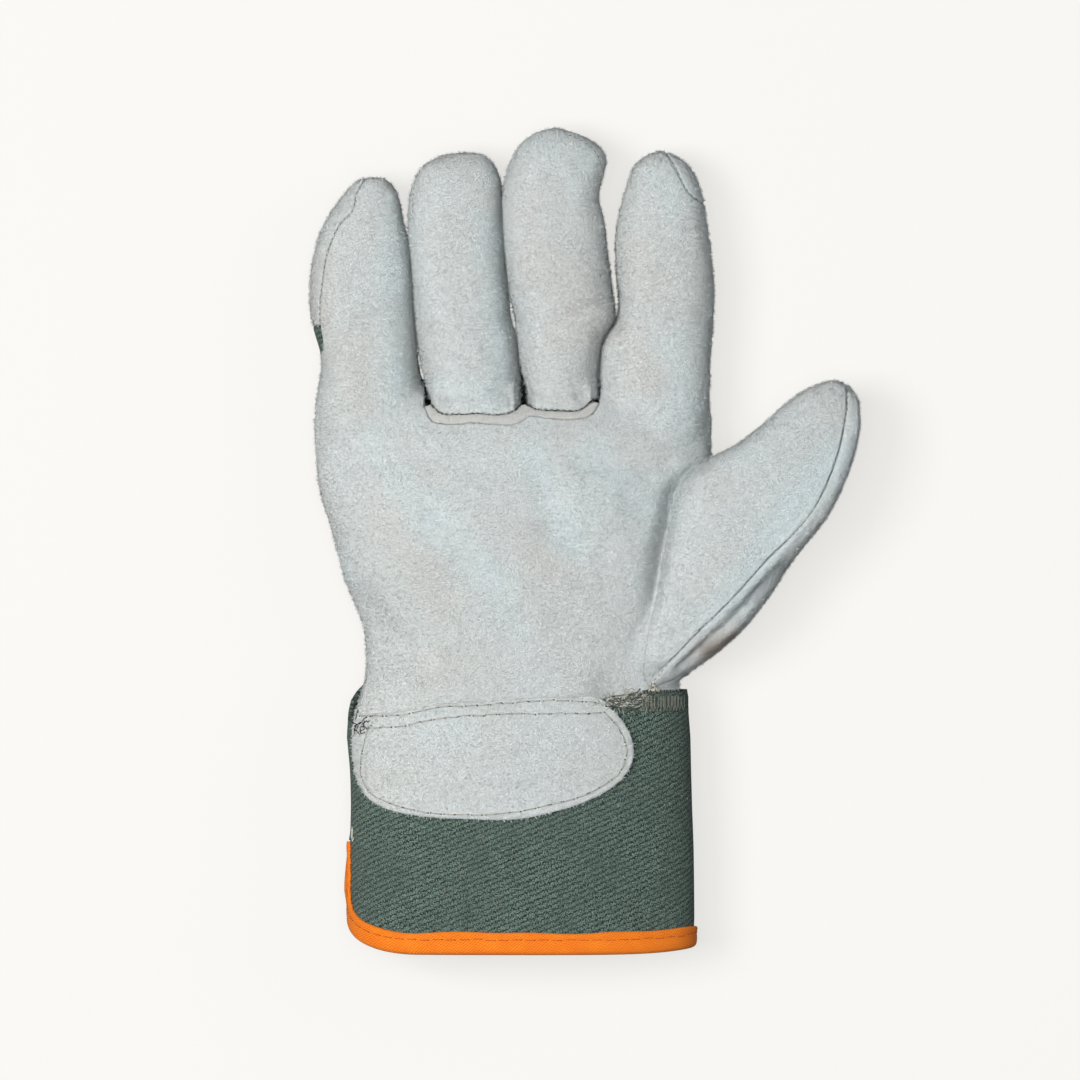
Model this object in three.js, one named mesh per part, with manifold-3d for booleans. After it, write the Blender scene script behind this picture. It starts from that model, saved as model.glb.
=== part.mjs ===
// A fitters glove for the right hand: split-leather palm, fingers and thumb, a twill back,
// a stiff twill safety cuff with a side vent, an orange edge binding and a leather cuff patch.
// It lies on its back with the palm up. Millimetres, +Z up, fingertips towards +Y, thumb towards +X.
// Tables give x from the palm's centre line, y above the cuff's hem and z above the surface it lies on.
import * as THREE from 'three';
import { mergeVertices } from 'three/addons/utils/BufferGeometryUtils.js';
import Module from 'manifold-3d';

const wasm = await Module();
wasm.setup();

// Driving dimensions
const WALL = 1.7;            // leather and lined twill of the hand
const CUFF_WALL = 1.6;       // stiffened twill of the cuff
const PATCH_WALL = 1.6;      // leather patch on the cuff
const TAPE = 1.0;            // binding tape, each layer
const TAPE_WIDTH = 5.6;      // how far the binding reaches over the cloth
const GAP = 0.3;             // running gap between pieces that are sewn together
const TAPE_GAP = 0.45;       // the same between the binding and the cloth it folds over
const HAND_SEAM_Z = 12;      // height of the seam between palm and back
const THUMB_SEAM_Z = 18;     // height of the thumb's inner seam
const WIDEST = 0.42;         // share of a section's height where it is widest
const PALM_ROUND = 2.15;     // superellipse power of the upper half of a section
const BACK_ROUND = 2.9;      // and of the lower half, which is flatter
const FINGER_SIDES = 15;
const HAND_SIDES = 29;
const UPPER_SHARE = 0.6;     // share of a section's sides that lie on its upper half
const VENT_TOP = 35;         // height of the cuff's side vent
const VENT_HALF = 2.7;       // half of its width
const CORNER_AROUND = 32;    // rounded corner of the cuff, along the hem
const CORNER_UP = 18;        // and up the vent's edge
const HEM = 1.45;            // cloth's edge above the binding's fold
const HEM_RISE = 1.8;        // the hem climbs this much at the thumb side

// One section a row: a table turns its rows into objects with the named columns
const table = (columns, rows) => rows.map((row) =>
  Object.fromEntries(columns.split(' ').map((name, i) => [name, row[i]])));

const HAND = table('y left right bottom top', [
  [70.0, -47.6, 51.6, 3.5, 37.4],
  [85.2, -45.8, 51.4, 3.5, 37.0],
  [89.0, -45.6, 52.6, 1.0, 37.6],
  [94.0, -45.6, 53.8, -0.8, 38.2],
  [100.5, -46.2, 55.0, -1.2, 39.6],
  [108.0, -49.0, 56.2, -1.2, 41.0],
  [116.0, -52.4, 57.6, -1.2, 41.8],
  [125.0, -54.6, 59.2, -1.2, 42.0],
  [135.0, -57.2, 60.8, -1.2, 41.6],
  [145.0, -60.2, 61.5, -1.2, 40.2],
  [154.0, -61.4, 61.5, -1.2, 37.8],
  [161.5, -61.5, 61.5, -1.2, 35.2],
  [167.5, -61.0, 61.4, -0.6, 32.2],
  [172.0, -58.0, 58.8, 2.0, 27.0],
  [175.0, -50.0, 51.0, 7.0, 20.0],
]);
const LITTLE = table('y left right bottom top', [
  [148, -56.0, -30.0, -0.8, 25.0],
  [158, -59.6, -28.4, -0.8, 28.4],
  [170, -61.0, -27.6, -0.6, 29.8],
  [182, -59.6, -29.5, -0.2, 29.8],
  [196, -62.3, -31.0, 0.8, 29.2],
  [211, -62.6, -32.0, 2.4, 28.2],
  [219, -61.4, -33.0, 3.4, 27.5],
  [227, -58.0, -34.0, 4.6, 26.6],
  [233, -54.0, -35.4, 6.2, 25.2],
  [237, -51.2, -36.8, 8.0, 23.4],
  [239.8, -48.4, -39.8, 10.6, 20.6],
]);
const RING = table('y left right bottom top', [
  [150, -26.0, 2.4, -0.4, 30.2],
  [167, -25.6, 2.4, -0.4, 30.8],
  [182, -28.0, 1.6, 0.2, 31.0],
  [196, -30.0, -0.4, 1.0, 31.2],
  [211, -31.0, -2.6, 2.4, 30.8],
  [226, -32.4, -3.6, 4.4, 29.6],
  [234, -32.0, -4.0, 6.0, 28.4],
  [240, -30.3, -3.6, 7.8, 26.8],
  [244.6, -27.2, -3.8, 9.8, 24.6],
  [247.4, -22.0, -5.0, 13.0, 21.2],
]);
const MIDDLE = table('y left right bottom top', [
  [150, 4.4, 26.0, -0.4, 30.6],
  [167, 4.4, 26.0, -0.4, 31.2],
  [182, 2.0, 25.6, 0.2, 32.4],
  [190, 1.4, 26.6, 0.6, 33.0],
  [196, 0.6, 31.2, 1.2, 33.4],
  [206, -1.0, 30.8, 2.0, 33.6],
  [219, -2.2, 29.0, 3.6, 33.2],
  [227, -3.2, 28.4, 4.8, 32.6],
  [234, -3.4, 26.7, 6.0, 31.6],
  [241.5, -2.2, 28.2, 7.6, 30.0],
  [247, 0.2, 28.8, 9.6, 28.0],
  [251.5, 3.4, 24.8, 12.0, 25.4],
  [254.4, 8.0, 18.6, 14.8, 22.0],
]);
const INDEX = table('y left right bottom top', [
  [148, 30.0, 56.0, -0.8, 26.0],
  [158, 28.0, 59.6, -0.8, 29.6],
  [170, 27.0, 61.0, -0.6, 31.2],
  [182, 26.8, 61.0, -0.2, 31.6],
  [190, 28.0, 61.5, 0.4, 31.8],
  [196, 32.0, 62.0, 1.0, 31.6],
  [211, 32.0, 62.0, 2.4, 31.0],
  [226, 32.2, 60.2, 4.2, 30.2],
  [234, 34.0, 59.0, 5.6, 29.0],
  [240, 35.8, 57.0, 7.4, 27.2],
  [244.5, 38.0, 54.0, 9.6, 24.8],
  [247.2, 41.5, 50.6, 12.4, 21.6],
]);
// The thumb's rows run along its own axis: y from its base, x across it
const THUMB = table('y left right bottom top', [
  [-8, -14.0, 12.0, 2.6, 35.0],
  [-1, -17.5, 14.4, 1.0, 38.0],
  [8, -20.0, 17.4, 0.4, 40.4],
  [20, -21.6, 19.6, 0.8, 42.4],
  [32, -22.6, 19.8, 2.0, 43.4],
  [44, -23.0, 18.8, 3.6, 43.6],
  [53, -21.4, 18.8, 5.2, 43.0],
  [62, -17.0, 19.2, 7.0, 41.8],
  [73, -13.6, 17.4, 9.4, 39.6],
  [84, -11.2, 13.8, 12.2, 36.8],
  [92, -8.2, 9.8, 14.8, 34.2],
  [97, -4.8, 5.6, 18.0, 30.8],
]);
const TIPS = { little: 240.8, ring: 248.4, middle: 256.0, index: 248.9, thumb: 99.2 };
const THUMB_BASE = [44, 97, 0];
const THUMB_TURN = -37;      // degrees from the glove's length

const CUFF = table('y left right bottom top', [
  [0, -50.9, 55.4, 1.5, 41.4],
  [11, -50.8, 55.8, 1.5, 42.0],
  [33, -50.5, 55.5, 1.5, 42.4],
  [45, -50.0, 55.1, 1.5, 42.4],
  [56, -50.2, 54.9, 1.5, 42.0],
  [67, -51.3, 54.8, 1.5, 41.2],
  [75, -50.9, 54.3, 1.5, 40.0],
  [86, -48.4, 53.8, 1.5, 39.4],
]);
// Upper edge of the cuff, from its left to its right, on the palm side and on the back
const CUFF_TOP = table('x palm back', [
  [-51, 82, 84.8],
  [-46, 74, 84.6],
  [-35, 73, 84],
  [-20, 75.4, 83],
  [0, 76.8, 82],
  [24, 77.4, 81.8],
  [30, 80, 81.8],
  [56, 81.5, 81.8],
]);

// Soft dents and creases of the palm: each pushes the leather down around a short line
const FOLDS = table('x0 y0 x1 y1 reach depth', [
  [58, 151, 36, 144, 3.6, 3.4],     // crease that runs in from the thumb's crotch
  [45, 143, 41, 112, 6.5, 5.0],     // hollow beside the ball of the thumb
  [14, 138, 17, 124, 6.0, 1.8],     // curved dent in the middle of the palm
  [17, 124, 34, 117, 6.0, 1.8],
  [-22, 130, -4, 108, 9.0, 1.6],    // long shallow dent to the heel
  [-48, 98, -24, 92, 5.0, 1.2],     // crease over the wrist
]);

// Seams, seen from above
const LITTLE_SEAM = [[-44, 242], [-47, 238.2], [-48.6, 235], [-49.8, 230], [-53.2, 226.4], [-57.4, 217.4],
  [-59.4, 206], [-60, 196], [-59.8, 186], [-66, 186]];
const INDEX_SEAM = [[46.6, 250], [48.4, 246.6], [50.8, 242.4], [54.4, 235.6], [60, 232], [66, 232]];
const WELT_LOW = [[-27.4, 169.4], [-25, 165], [-20.5, 164], [-12, 164.4], [-5, 163.9], [1.6, 164.3], [5, 166.4],
  [11, 165.9], [18, 165.5], [24.4, 167], [26.8, 170.6]];
const WELT_HIGH = [[-25.4, 170.2], [-22.6, 167.5], [-17, 166.9], [-11, 167.2], [-4, 166.8], [0.4, 168], [3.2, 170.2],
  [6.4, 168.8], [14, 168.2], [21, 168.4], [24.2, 171]];
const WINDOW_SHOULDER = 172; // from here up the two fronts are as wide as their fingers
const THUMB_SEAM = [[103, 180], [103.2, 169.5], [101.6, 160], [97, 146], [92, 136.6], [78.5, 122], [69, 111.5],
  [52.5, 95], [43.5, 84.4], [40, 80]];
const THUMB_CREASE = [[62, 160], [60.8, 152.4], [54.4, 148], [49.8, 142], [47.4, 127], [44.6, 112], [41.6, 98.5],
  [40.3, 86], [39.4, 78]];
const PATCH_EDGE = [[-49.6, 73.6], [-50.2, 66], [-50, 61], [-48.4, 53.6], [-45.2, 48.4], [-39, 45], [-29, 43],
  [-12, 42], [2, 42.1], [11.5, 44], [21, 46.8], [28.6, 50.4], [34.2, 54.8], [37, 59.6], [37.4, 64.6], [35.4, 70],
  [31.8, 74.8], [27.6, 78.8], [14.5, 79.6], [2, 79.1], [-10, 78.2], [-22.5, 77.4], [-35, 75]];
const TIP_Y = { little: 194.5, ring: 203, middle: 205, index: 176 };   // where leather takes over from twill behind
const FAR = 400;             // longer than the glove, for cutting

// Closed solid from shared vertices and triangles, turned outwards if it came inside out
function solid(points, triangles) {
  const build = (tris) => new wasm.Manifold(new wasm.Mesh({
    numProp: 3, vertProperties: new Float32Array(points.flat()), triVerts: new Uint32Array(tris.flat()) }));
  const first = build(triangles);
  return first.volume() > 0 ? first : build(triangles.map(([a, b, c]) => [a, c, b]));
}

// three.js geometry to a solid, and back
function fromGeometry(geometry) {
  geometry.deleteAttribute('normal');
  geometry.deleteAttribute('uv');
  const merged = mergeVertices(geometry);
  return new wasm.Manifold(new wasm.Mesh({ numProp: 3,
    vertProperties: new Float32Array(merged.attributes.position.array),
    triVerts: new Uint32Array(merged.index.array) }));
}

function toGeometry(shape) {
  const mesh = shape.getMesh();
  const geometry = new THREE.BufferGeometry();
  geometry.setAttribute('position', new THREE.BufferAttribute(new Float32Array(mesh.vertProperties), 3));
  geometry.setIndex(new THREE.BufferAttribute(new Uint32Array(mesh.triVerts), 1));
  geometry.computeVertexNormals();
  return geometry;
}

const signedPower = (value, power) => Math.sign(value) * Math.abs(value) ** power;

// A point on a section: angle 0 is its right side, a quarter turn is its top; grow moves it out or in
function onSection(row, angle, grow) {
  const round = Math.sin(angle) >= 0 ? PALM_ROUND : BACK_ROUND;
  const middle = row.bottom + (row.top - row.bottom) * WIDEST;
  const half = (row.right - row.left) / 2 + grow;
  const height = (Math.sin(angle) >= 0 ? row.top - middle : middle - row.bottom) + grow;
  return [(row.left + row.right) / 2 + half * signedPower(Math.cos(angle), 2 / round), row.y,
    middle + height * signedPower(Math.sin(angle), 2 / round)];
}

// Angles round a section, closer together on the upper half
function sectionAngles(sides) {
  const upper = Math.ceil(sides * UPPER_SHARE);
  return Array.from({ length: sides }, (_, i) =>
    i < upper ? Math.PI * i / upper : Math.PI + Math.PI * (i - upper) / (sides - upper));
}

// How far the folds push the leather down at a place on the palm
function foldDepth(x, y) {
  let depth = 0;
  for (const fold of FOLDS) {
    const line = new THREE.Line3(new THREE.Vector3(fold.x0, fold.y0, 0), new THREE.Vector3(fold.x1, fold.y1, 0));
    const near = line.closestPointToPoint(new THREE.Vector3(x, y, 0), true, new THREE.Vector3());
    depth += fold.depth * Math.exp(-((Math.hypot(near.x - x, near.y - y) / fold.reach) ** 2));
  }
  return depth;
}

// Skin through the sections, with flat ends or one pointed tip
function loft(rows, { sides, grow = 0, tip = null, folded = false }) {
  const points = [];
  const triangles = [];
  for (const row of rows) {
    for (const angle of sectionAngles(sides)) {
      const point = onSection(row, angle, grow);
      const middle = row.bottom + (row.top - row.bottom) * WIDEST;
      if (folded && point[2] > middle) {
        point[2] -= foldDepth(point[0], point[1]) * (point[2] - middle) / (row.top - middle);
      }
      points.push(point);
    }
  }
  for (let r = 0; r + 1 < rows.length; r++) {
    for (let i = 0; i < sides; i++) {
      const a = r * sides + i;
      const b = r * sides + (i + 1) % sides;
      triangles.push([a, b, a + sides], [b, b + sides, a + sides]);
    }
  }
  const cap = (row, y, ring, turned) => {
    const centre = points.length;
    points.push([(row.left + row.right) / 2, y, row.bottom + (row.top - row.bottom) * WIDEST]);
    for (let i = 0; i < sides; i++) {
      const pair = [ring + i, ring + (i + 1) % sides];
      triangles.push(turned ? [pair[1], pair[0], centre] : [pair[0], pair[1], centre]);
    }
  };
  const last = rows[rows.length - 1];
  cap(rows[0], rows[0].y, 0, true);
  cap(last, tip ?? last.y, (rows.length - 1) * sides, false);
  return solid(points, triangles);
}

// The same limb, smaller by the wall, for the hollow inside it
function limbHollow(rows, tip, sides, wall) {
  const start = rows[0].y;
  const share = (tip - wall - start) / (tip - start);
  const shorter = rows.map((row) => ({ ...row, y: start + (row.y - start) * share }));
  return loft(shorter, { sides, grow: -wall, tip: tip - wall });
}

// Upright prism of an outline seen from above
function prism(outline, zLow, zHigh) {
  const shape = new THREE.Shape(outline.map(([x, y]) => new THREE.Vector2(x, y)));
  return fromGeometry(new THREE.ExtrudeGeometry(shape, { depth: zHigh - zLow, bevelEnabled: false }))
    .translate([0, 0, zLow]);
}

// Moves a line sideways, to its left as it runs, to leave a gap beside a seam
function besideLine(line, distance) {
  return line.map(([x, y], i) => {
    const before = line[Math.max(i - 1, 0)];
    const after = line[Math.min(i + 1, line.length - 1)];
    const length = Math.hypot(after[0] - before[0], after[1] - before[1]);
    return [x - distance * (after[1] - before[1]) / length, y + distance * (after[0] - before[0]) / length];
  });
}

const above = (z) => prism([[-FAR, -FAR], [FAR, -FAR], [FAR, FAR], [-FAR, FAR]], z, FAR);
const below = (z) => prism([[-FAR, -FAR], [FAR, -FAR], [FAR, FAR], [-FAR, FAR]], -FAR, z);
const band = (y0, y1) => prism([[-FAR, y0], [FAR, y0], [FAR, y1], [-FAR, y1]], -FAR, FAR);
const join = (...shapes) => shapes.reduce((whole, shape) => whole.add(shape));

// The limbs, and the hollow that runs through them all
function limb(rows, tip) {
  return { outer: loft(rows, { sides: FINGER_SIDES, tip }),
    hollow: limbHollow(rows, tip, FINGER_SIDES, WALL) };
}
function placeThumb(shape) {
  return shape.rotate([0, 0, THUMB_TURN]).translate(THUMB_BASE);
}
const little = limb(LITTLE, TIPS.little);
const ring = limb(RING, TIPS.ring);
const middle = limb(MIDDLE, TIPS.middle);
const index = limb(INDEX, TIPS.index);
const thumbLocal = limb(THUMB, TIPS.thumb);
const thumb = { outer: placeThumb(thumbLocal.outer), hollow: placeThumb(thumbLocal.hollow) };
const handOuter = loft(HAND, { sides: HAND_SIDES, folded: true });
const handHollow = loft([{ ...HAND[0], y: HAND[0].y - 5 }, ...HAND.slice(0, -2)],
  { sides: HAND_SIDES, grow: -WALL, folded: true });
const hollow = join(handHollow, little.hollow, ring.hollow, middle.hollow, index.hollow, thumb.hollow)
  .intersect(above(WALL));
const floor = above(0);
const onFloor = (shape) => shape.intersect(floor).subtract(hollow);

// Palm leather: the palm with the fronts of the little and index fingers in one piece
const [palmLeft, palmRight] = [WELT_LOW[0][0], WELT_LOW[WELT_LOW.length - 1][0]];
const windowArea = [...WELT_LOW, [palmRight, FAR], [palmLeft, FAR]];
const littleOutside = (gap) => [...besideLine(LITTLE_SEAM, -gap), [-FAR, 186 + gap], [-FAR, 242]];
const indexOutside = (gap) => [...besideLine(INDEX_SEAM, gap), [FAR, 232 + gap], [FAR, 250]];
const thumbRegion = (gap) => [...besideLine(THUMB_CREASE, gap), [FAR, 78], [FAR, 160]];
const palmLeather = onFloor(join(handOuter.subtract(prism(windowArea, 0, FAR)), little.outer, index.outer))
  .intersect(above(HAND_SEAM_Z))
  .subtract(prism(littleOutside(0), 0, FAR))
  .subtract(prism(indexOutside(0), 0, FAR))
  .subtract(prism(thumbRegion(0), 0, FAR));

// Fronts of the ring and middle fingers, which start at the welt
const windowInside = besideLine(WELT_HIGH, GAP);
const openWindow = [...windowInside, [windowInside[windowInside.length - 1][0], WINDOW_SHOULDER], [45, WINDOW_SHOULDER],
  [45, FAR], [-45, FAR], [-45, WINDOW_SHOULDER], [windowInside[0][0], WINDOW_SHOULDER]];
const fingerFront = (finger) => onFloor(finger.outer)
  .intersect(above(HAND_SEAM_Z))
  .intersect(prism(openWindow, 0, FAR));
const ringFront = fingerFront(ring);
const middleFront = fingerFront(middle);

// Welt strip between the palm's edge and those two fronts
const weltBand = [...besideLine(WELT_LOW, GAP), ...WELT_HIGH.slice().reverse()];
const baseWelt = onFloor(handOuter)
  .intersect(above(HAND_SEAM_Z + 1))
  .intersect(prism(weltBand, 0, FAR));

// Thumb in two leaves, sewn along its outer side
const thumbOutside = (gap) => [...besideLine(THUMB_SEAM, -gap), [40, -FAR], [FAR, -FAR], [FAR, 180]];
const thumbSkin = onFloor(thumb.outer);
const thumbFront = thumbSkin
  .intersect(above(THUMB_SEAM_Z))
  .intersect(join(prism(thumbRegion(GAP), 0, FAR), band(158.5, FAR)))
  .subtract(prism(thumbOutside(GAP), 0, FAR));
const handGrown = loft(HAND, { sides: HAND_SIDES, grow: GAP, folded: true });
const thumbBack = thumbSkin
  .intersect(join(below(THUMB_SEAM_Z - GAP), prism(thumbOutside(0), 0, FAR)))
  .subtract(handGrown.intersect(join(below(HAND_SEAM_Z + GAP), below(FAR).subtract(prism(thumbRegion(GAP), 0, FAR)))));

// Back of the hand in twill, with leather tips and a leather index finger
const underSeam = below(HAND_SEAM_Z - GAP);
const behind = (finger, outside) => onFloor(finger.outer).intersect(outside ? join(underSeam, prism(outside, 0, FAR)) : underSeam);
const littleBehind = behind(little, littleOutside(GAP));
const littleTip = littleBehind.intersect(band(TIP_Y.little, FAR));
const ringTip = behind(ring).intersect(band(TIP_Y.ring, FAR));
const middleTip = behind(middle).intersect(band(TIP_Y.middle, FAR));
const indexBack = behind(index, indexOutside(GAP)).intersect(band(TIP_Y.index, FAR));
const clothUnder = (shape, y) => shape.intersect(band(-FAR, y - GAP));
const backCloth = join(
  onFloor(handOuter).intersect(underSeam).subtract(prism([[26, TIP_Y.index - GAP], [FAR, 0], [FAR, FAR], [26, FAR]], -1, FAR)),
  clothUnder(littleBehind, TIP_Y.little),
  clothUnder(behind(ring), TIP_Y.ring),
  clothUnder(behind(middle), TIP_Y.middle),
  clothUnder(behind(index), TIP_Y.index));

// A cuff section at any height
function cuffRow(y) {
  const after = CUFF.findIndex((row) => row.y >= y);
  if (after <= 0) return { ...CUFF[after === 0 ? 0 : CUFF.length - 1], y };
  const [low, high] = [CUFF[after - 1], CUFF[after]];
  const share = (y - low.y) / (high.y - low.y);
  const mix = (name) => low[name] + (high[name] - low[name]) * share;
  return { y, left: mix('left'), right: mix('right'), bottom: mix('bottom'), top: mix('top') };
}

// Distance round the hem, counted from the vent, against the angle on the section
const AROUND_STEPS = 720;
const aroundTable = [0];
for (let i = 1; i <= AROUND_STEPS; i++) {
  const at = (k) => new THREE.Vector3(...onSection(CUFF[1], Math.PI + 2 * Math.PI * k / AROUND_STEPS, -CUFF_WALL / 2));
  aroundTable.push(aroundTable[i - 1] + at(i).distanceTo(at(i - 1)));
}
const GIRTH = aroundTable[AROUND_STEPS];
function angleAt(around) {
  const wrapped = ((around % GIRTH) + GIRTH) % GIRTH;
  let i = 1;
  while (aroundTable[i] < wrapped) i++;
  const share = (wrapped - aroundTable[i - 1]) / (aroundTable[i] - aroundTable[i - 1]);
  return Math.PI + 2 * Math.PI * (i - 1 + share) / AROUND_STEPS;
}

// A point of the cuff: distance round it, height, and how far out from the middle of its wall
function onCuff(around, y, out) {
  const point = onSection(cuffRow(Math.max(y, 0)), angleAt(around), out - CUFF_WALL / 2);
  point[1] = y;
  return point;
}

const VENT_STEP = 0.05;      // the vent's edges rise within this distance
// Lower edge of the cuff: straight hem, rounded corners, open vent
function cuffHem(around, grow) {
  const fromVent = Math.min(around, GIRTH - around) - (VENT_HALF - grow);
  if (fromVent < -VENT_STEP / 2) return VENT_TOP - grow;
  const inCorner = 1 - THREE.MathUtils.clamp(fromVent / CORNER_AROUND, 0, 1);
  const across = Math.max(0, onCuff(around, 0, 0)[0] / CUFF[0].right);
  return HEM + HEM_RISE * across ** 6 + CORNER_UP * (1 - Math.sqrt(1 - inCorner ** 2)) - grow;
}

function cuffTopEdge(around) {
  const [x, , z] = onCuff(around, 75, 0);
  const row = cuffRow(75);
  const side = z < row.bottom + (row.top - row.bottom) * WIDEST ? 'back' : 'palm';
  const after = Math.max(1, CUFF_TOP.findIndex((place) => place.x >= x));
  const [low, high] = [CUFF_TOP[after - 1], CUFF_TOP[after]];
  return low[side] + (high[side] - low[side]) * Math.max(0, (x - low.x) / (high.x - low.x));
}

const CORNER_COLUMNS = 5;
const CUFF_COLUMNS = 22;
const CUFF_LEVELS = 4;
function cuffColumns(grow) {
  const edge = VENT_HALF - grow;
  const start = VENT_HALF + CORNER_AROUND;
  const corner = Array.from({ length: CORNER_COLUMNS }, (_, i) =>
    VENT_HALF + CORNER_AROUND * ((i + 1) / CORNER_COLUMNS) ** 1.5);
  const first = [0, edge - VENT_STEP, edge, ...corner];
  const straight = Array.from({ length: CUFF_COLUMNS }, (_, i) => start + (GIRTH - 2 * start) * (i + 1) / (CUFF_COLUMNS + 1));
  return [...first, ...straight, ...first.slice(1).reverse().map((around) => GIRTH - around)];
}

// Wall of the cuff; grow thickens it on all sides
function cuffWall(grow) {
  const columns = cuffColumns(grow);
  const points = [];
  const triangles = [];
  const half = CUFF_WALL / 2 + grow;
  for (const around of columns) {
    const hem = cuffHem(around, grow);
    const top = cuffTopEdge(around) + grow;
    for (const out of [half, -half]) {
      for (let k = 0; k <= CUFF_LEVELS; k++) points.push(onCuff(around, hem + (top - hem) * k / CUFF_LEVELS, out));
    }
  }
  const levels = CUFF_LEVELS + 1;
  const loop = [...Array(levels).keys(), ...Array.from({ length: levels }, (_, k) => 2 * levels - 1 - k)];
  columns.forEach((_, c) => {
    const here = c * 2 * levels;
    const next = ((c + 1) % columns.length) * 2 * levels;
    loop.forEach((a, i) => {
      const b = loop[(i + 1) % loop.length];
      triangles.push([here + a, next + a, here + b], [next + a, next + b, here + b]);
    });
  });
  return solid(points, triangles);
}
const cuff = cuffWall(0).intersect(floor);

// Binding tape folded over the cuff's whole lower edge, up one side of the vent and down the other
function bindingPath() {
  const columns = cuffColumns(0).slice(2, -1);
  const hem = columns.map((around) => [around, cuffHem(around, 0)]);
  const rise = [0.4, 0.7].map((share) => CORNER_UP + (VENT_TOP - CORNER_UP) * share);
  return [[VENT_HALF, VENT_TOP], ...rise.slice().reverse().map((y) => [VENT_HALF, y]), ...hem,
    ...rise.map((y) => [GIRTH - VENT_HALF, y]), [GIRTH - VENT_HALF, VENT_TOP]];
}
function bindingBlock() {
  const path = bindingPath();
  const reach = CUFF_WALL / 2 + TAPE_GAP + TAPE;
  const fold = TAPE + TAPE_GAP;
  const section = [[-TAPE_WIDTH, reach], [TAPE * 0.3, reach], [fold, reach * 0.5], [fold, -reach * 0.5],
    [TAPE * 0.3, -reach], [-TAPE_WIDTH, -reach]];
  const points = [];
  const triangles = [];
  path.forEach(([around, y], i) => {
    const before = path[(i - 1 + path.length) % path.length];
    const after = path[(i + 1) % path.length];
    const unit = ([ax, ay], [bx, by]) => {
      const turn = ax - bx > GIRTH / 2 ? -GIRTH : bx - ax > GIRTH / 2 ? GIRTH : 0;
      const length = Math.hypot(bx - ax - turn, by - ay);
      return [(bx - ax - turn) / length, (by - ay) / length];
    };
    const [t0, t1] = [unit(before, [around, y]), unit([around, y], after)];
    const sum = [t0[0] + t1[0], t0[1] + t1[1]];
    const miter = 2 / (sum[0] ** 2 + sum[1] ** 2);
    const outward = [sum[1] * miter, -sum[0] * miter];
    for (const [along, out] of section) points.push(onCuff(around + outward[0] * along, y + outward[1] * along, out));
  });
  const count = section.length;
  path.forEach((_, p) => {
    for (let i = 0; i < count; i++) {
      const [a, b] = [p * count + i, p * count + (i + 1) % count];
      const next = ((p + 1) % path.length - p) * count;
      triangles.push([a, a + next, b], [a + next, b + next, b]);
    }
  });
  return solid(points, triangles);
}
const binding = bindingBlock().subtract(cuffWall(TAPE_GAP)).intersect(floor);

// Leather patch on the palm side of the cuff
const cuffLayer = (grow) => loft(CUFF, { sides: 40, grow });
const patch = cuffLayer(GAP * 2 + PATCH_WALL).subtract(cuffLayer(GAP * 2))
  .intersect(prism(PATCH_EDGE, 22, FAR));

const LEATHER = { color: 0xc6cbcb, roughness: 0.95, metalness: 0 };
const TWILL = { color: 0x4d6157, roughness: 0.9, metalness: 0 };
const ORANGE = { color: 0xec7a24, roughness: 0.7, metalness: 0 };
const WELT = { color: 0xd4d2cc, roughness: 0.9, metalness: 0 };
const PIECES = [
  ['palm_leather', palmLeather, LEATHER],
  ['ring_finger_front', ringFront, LEATHER],
  ['middle_finger_front', middleFront, LEATHER],
  ['finger_base_welt', baseWelt, WELT],
  ['thumb_front', thumbFront, LEATHER],
  ['thumb_back', thumbBack, LEATHER],
  ['index_finger_back', indexBack, LEATHER],
  ['little_fingertip_back', littleTip, LEATHER],
  ['ring_fingertip_back', ringTip, LEATHER],
  ['middle_fingertip_back', middleTip, LEATHER],
  ['back_cloth', backCloth, TWILL],
  ['safety_cuff', cuff, TWILL],
  ['cuff_binding', binding, ORANGE],
  ['cuff_patch', patch, LEATHER],
];

const glove = new THREE.Group();
for (const [name, shape, finish] of PIECES) {
  const mesh = new THREE.Mesh(toGeometry(shape), new THREE.MeshStandardMaterial(finish));
  mesh.name = name;
  glove.add(mesh);
}
// The origin is under the middle of the glove, on the surface it lies on
const bounds = new THREE.Box3().setFromObject(glove, true);
const centre = bounds.getCenter(new THREE.Vector3());
glove.position.set(-centre.x, -centre.y, -bounds.min.z);

export default glove;
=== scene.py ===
import math

import bmesh
import bpy
import numpy as np
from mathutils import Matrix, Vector, kdtree, noise
from mathutils.bvhtree import BVHTree


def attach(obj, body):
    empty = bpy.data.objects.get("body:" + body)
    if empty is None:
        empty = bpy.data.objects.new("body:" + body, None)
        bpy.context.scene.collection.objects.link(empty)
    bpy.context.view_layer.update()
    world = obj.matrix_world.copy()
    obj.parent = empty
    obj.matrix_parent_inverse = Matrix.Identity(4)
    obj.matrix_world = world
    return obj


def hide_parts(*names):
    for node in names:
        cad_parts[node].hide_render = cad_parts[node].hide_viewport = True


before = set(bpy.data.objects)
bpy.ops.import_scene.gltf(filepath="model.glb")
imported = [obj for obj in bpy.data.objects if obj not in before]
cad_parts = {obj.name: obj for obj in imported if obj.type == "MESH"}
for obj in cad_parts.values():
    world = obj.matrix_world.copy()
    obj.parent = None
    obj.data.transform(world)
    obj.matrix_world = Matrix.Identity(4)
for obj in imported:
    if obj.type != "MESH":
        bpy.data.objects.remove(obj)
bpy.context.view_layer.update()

MM = 0.001
CENTRE_X = 22.297            # middle of the glove's outline in the maker's millimetres
CENTRE_Y = 128.0
LEATHER = 1.5                # thickness of the split leather
WELT = 1.0                   # and of the welt strip
TWILL = 1.2                  # and of the lined twill of the back
CUFF_WALL = 1.6              # stiffened twill of the cuff
TAPE = 1.0                   # binding tape, each layer
TAPE_WIDTH = 5.6             # how far the binding reaches over the cloth
SEAM_GAP = 0.12              # left on each side of a seam
CREASE_GAP = 0.03            # and on each side of the thumb's crease
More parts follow.
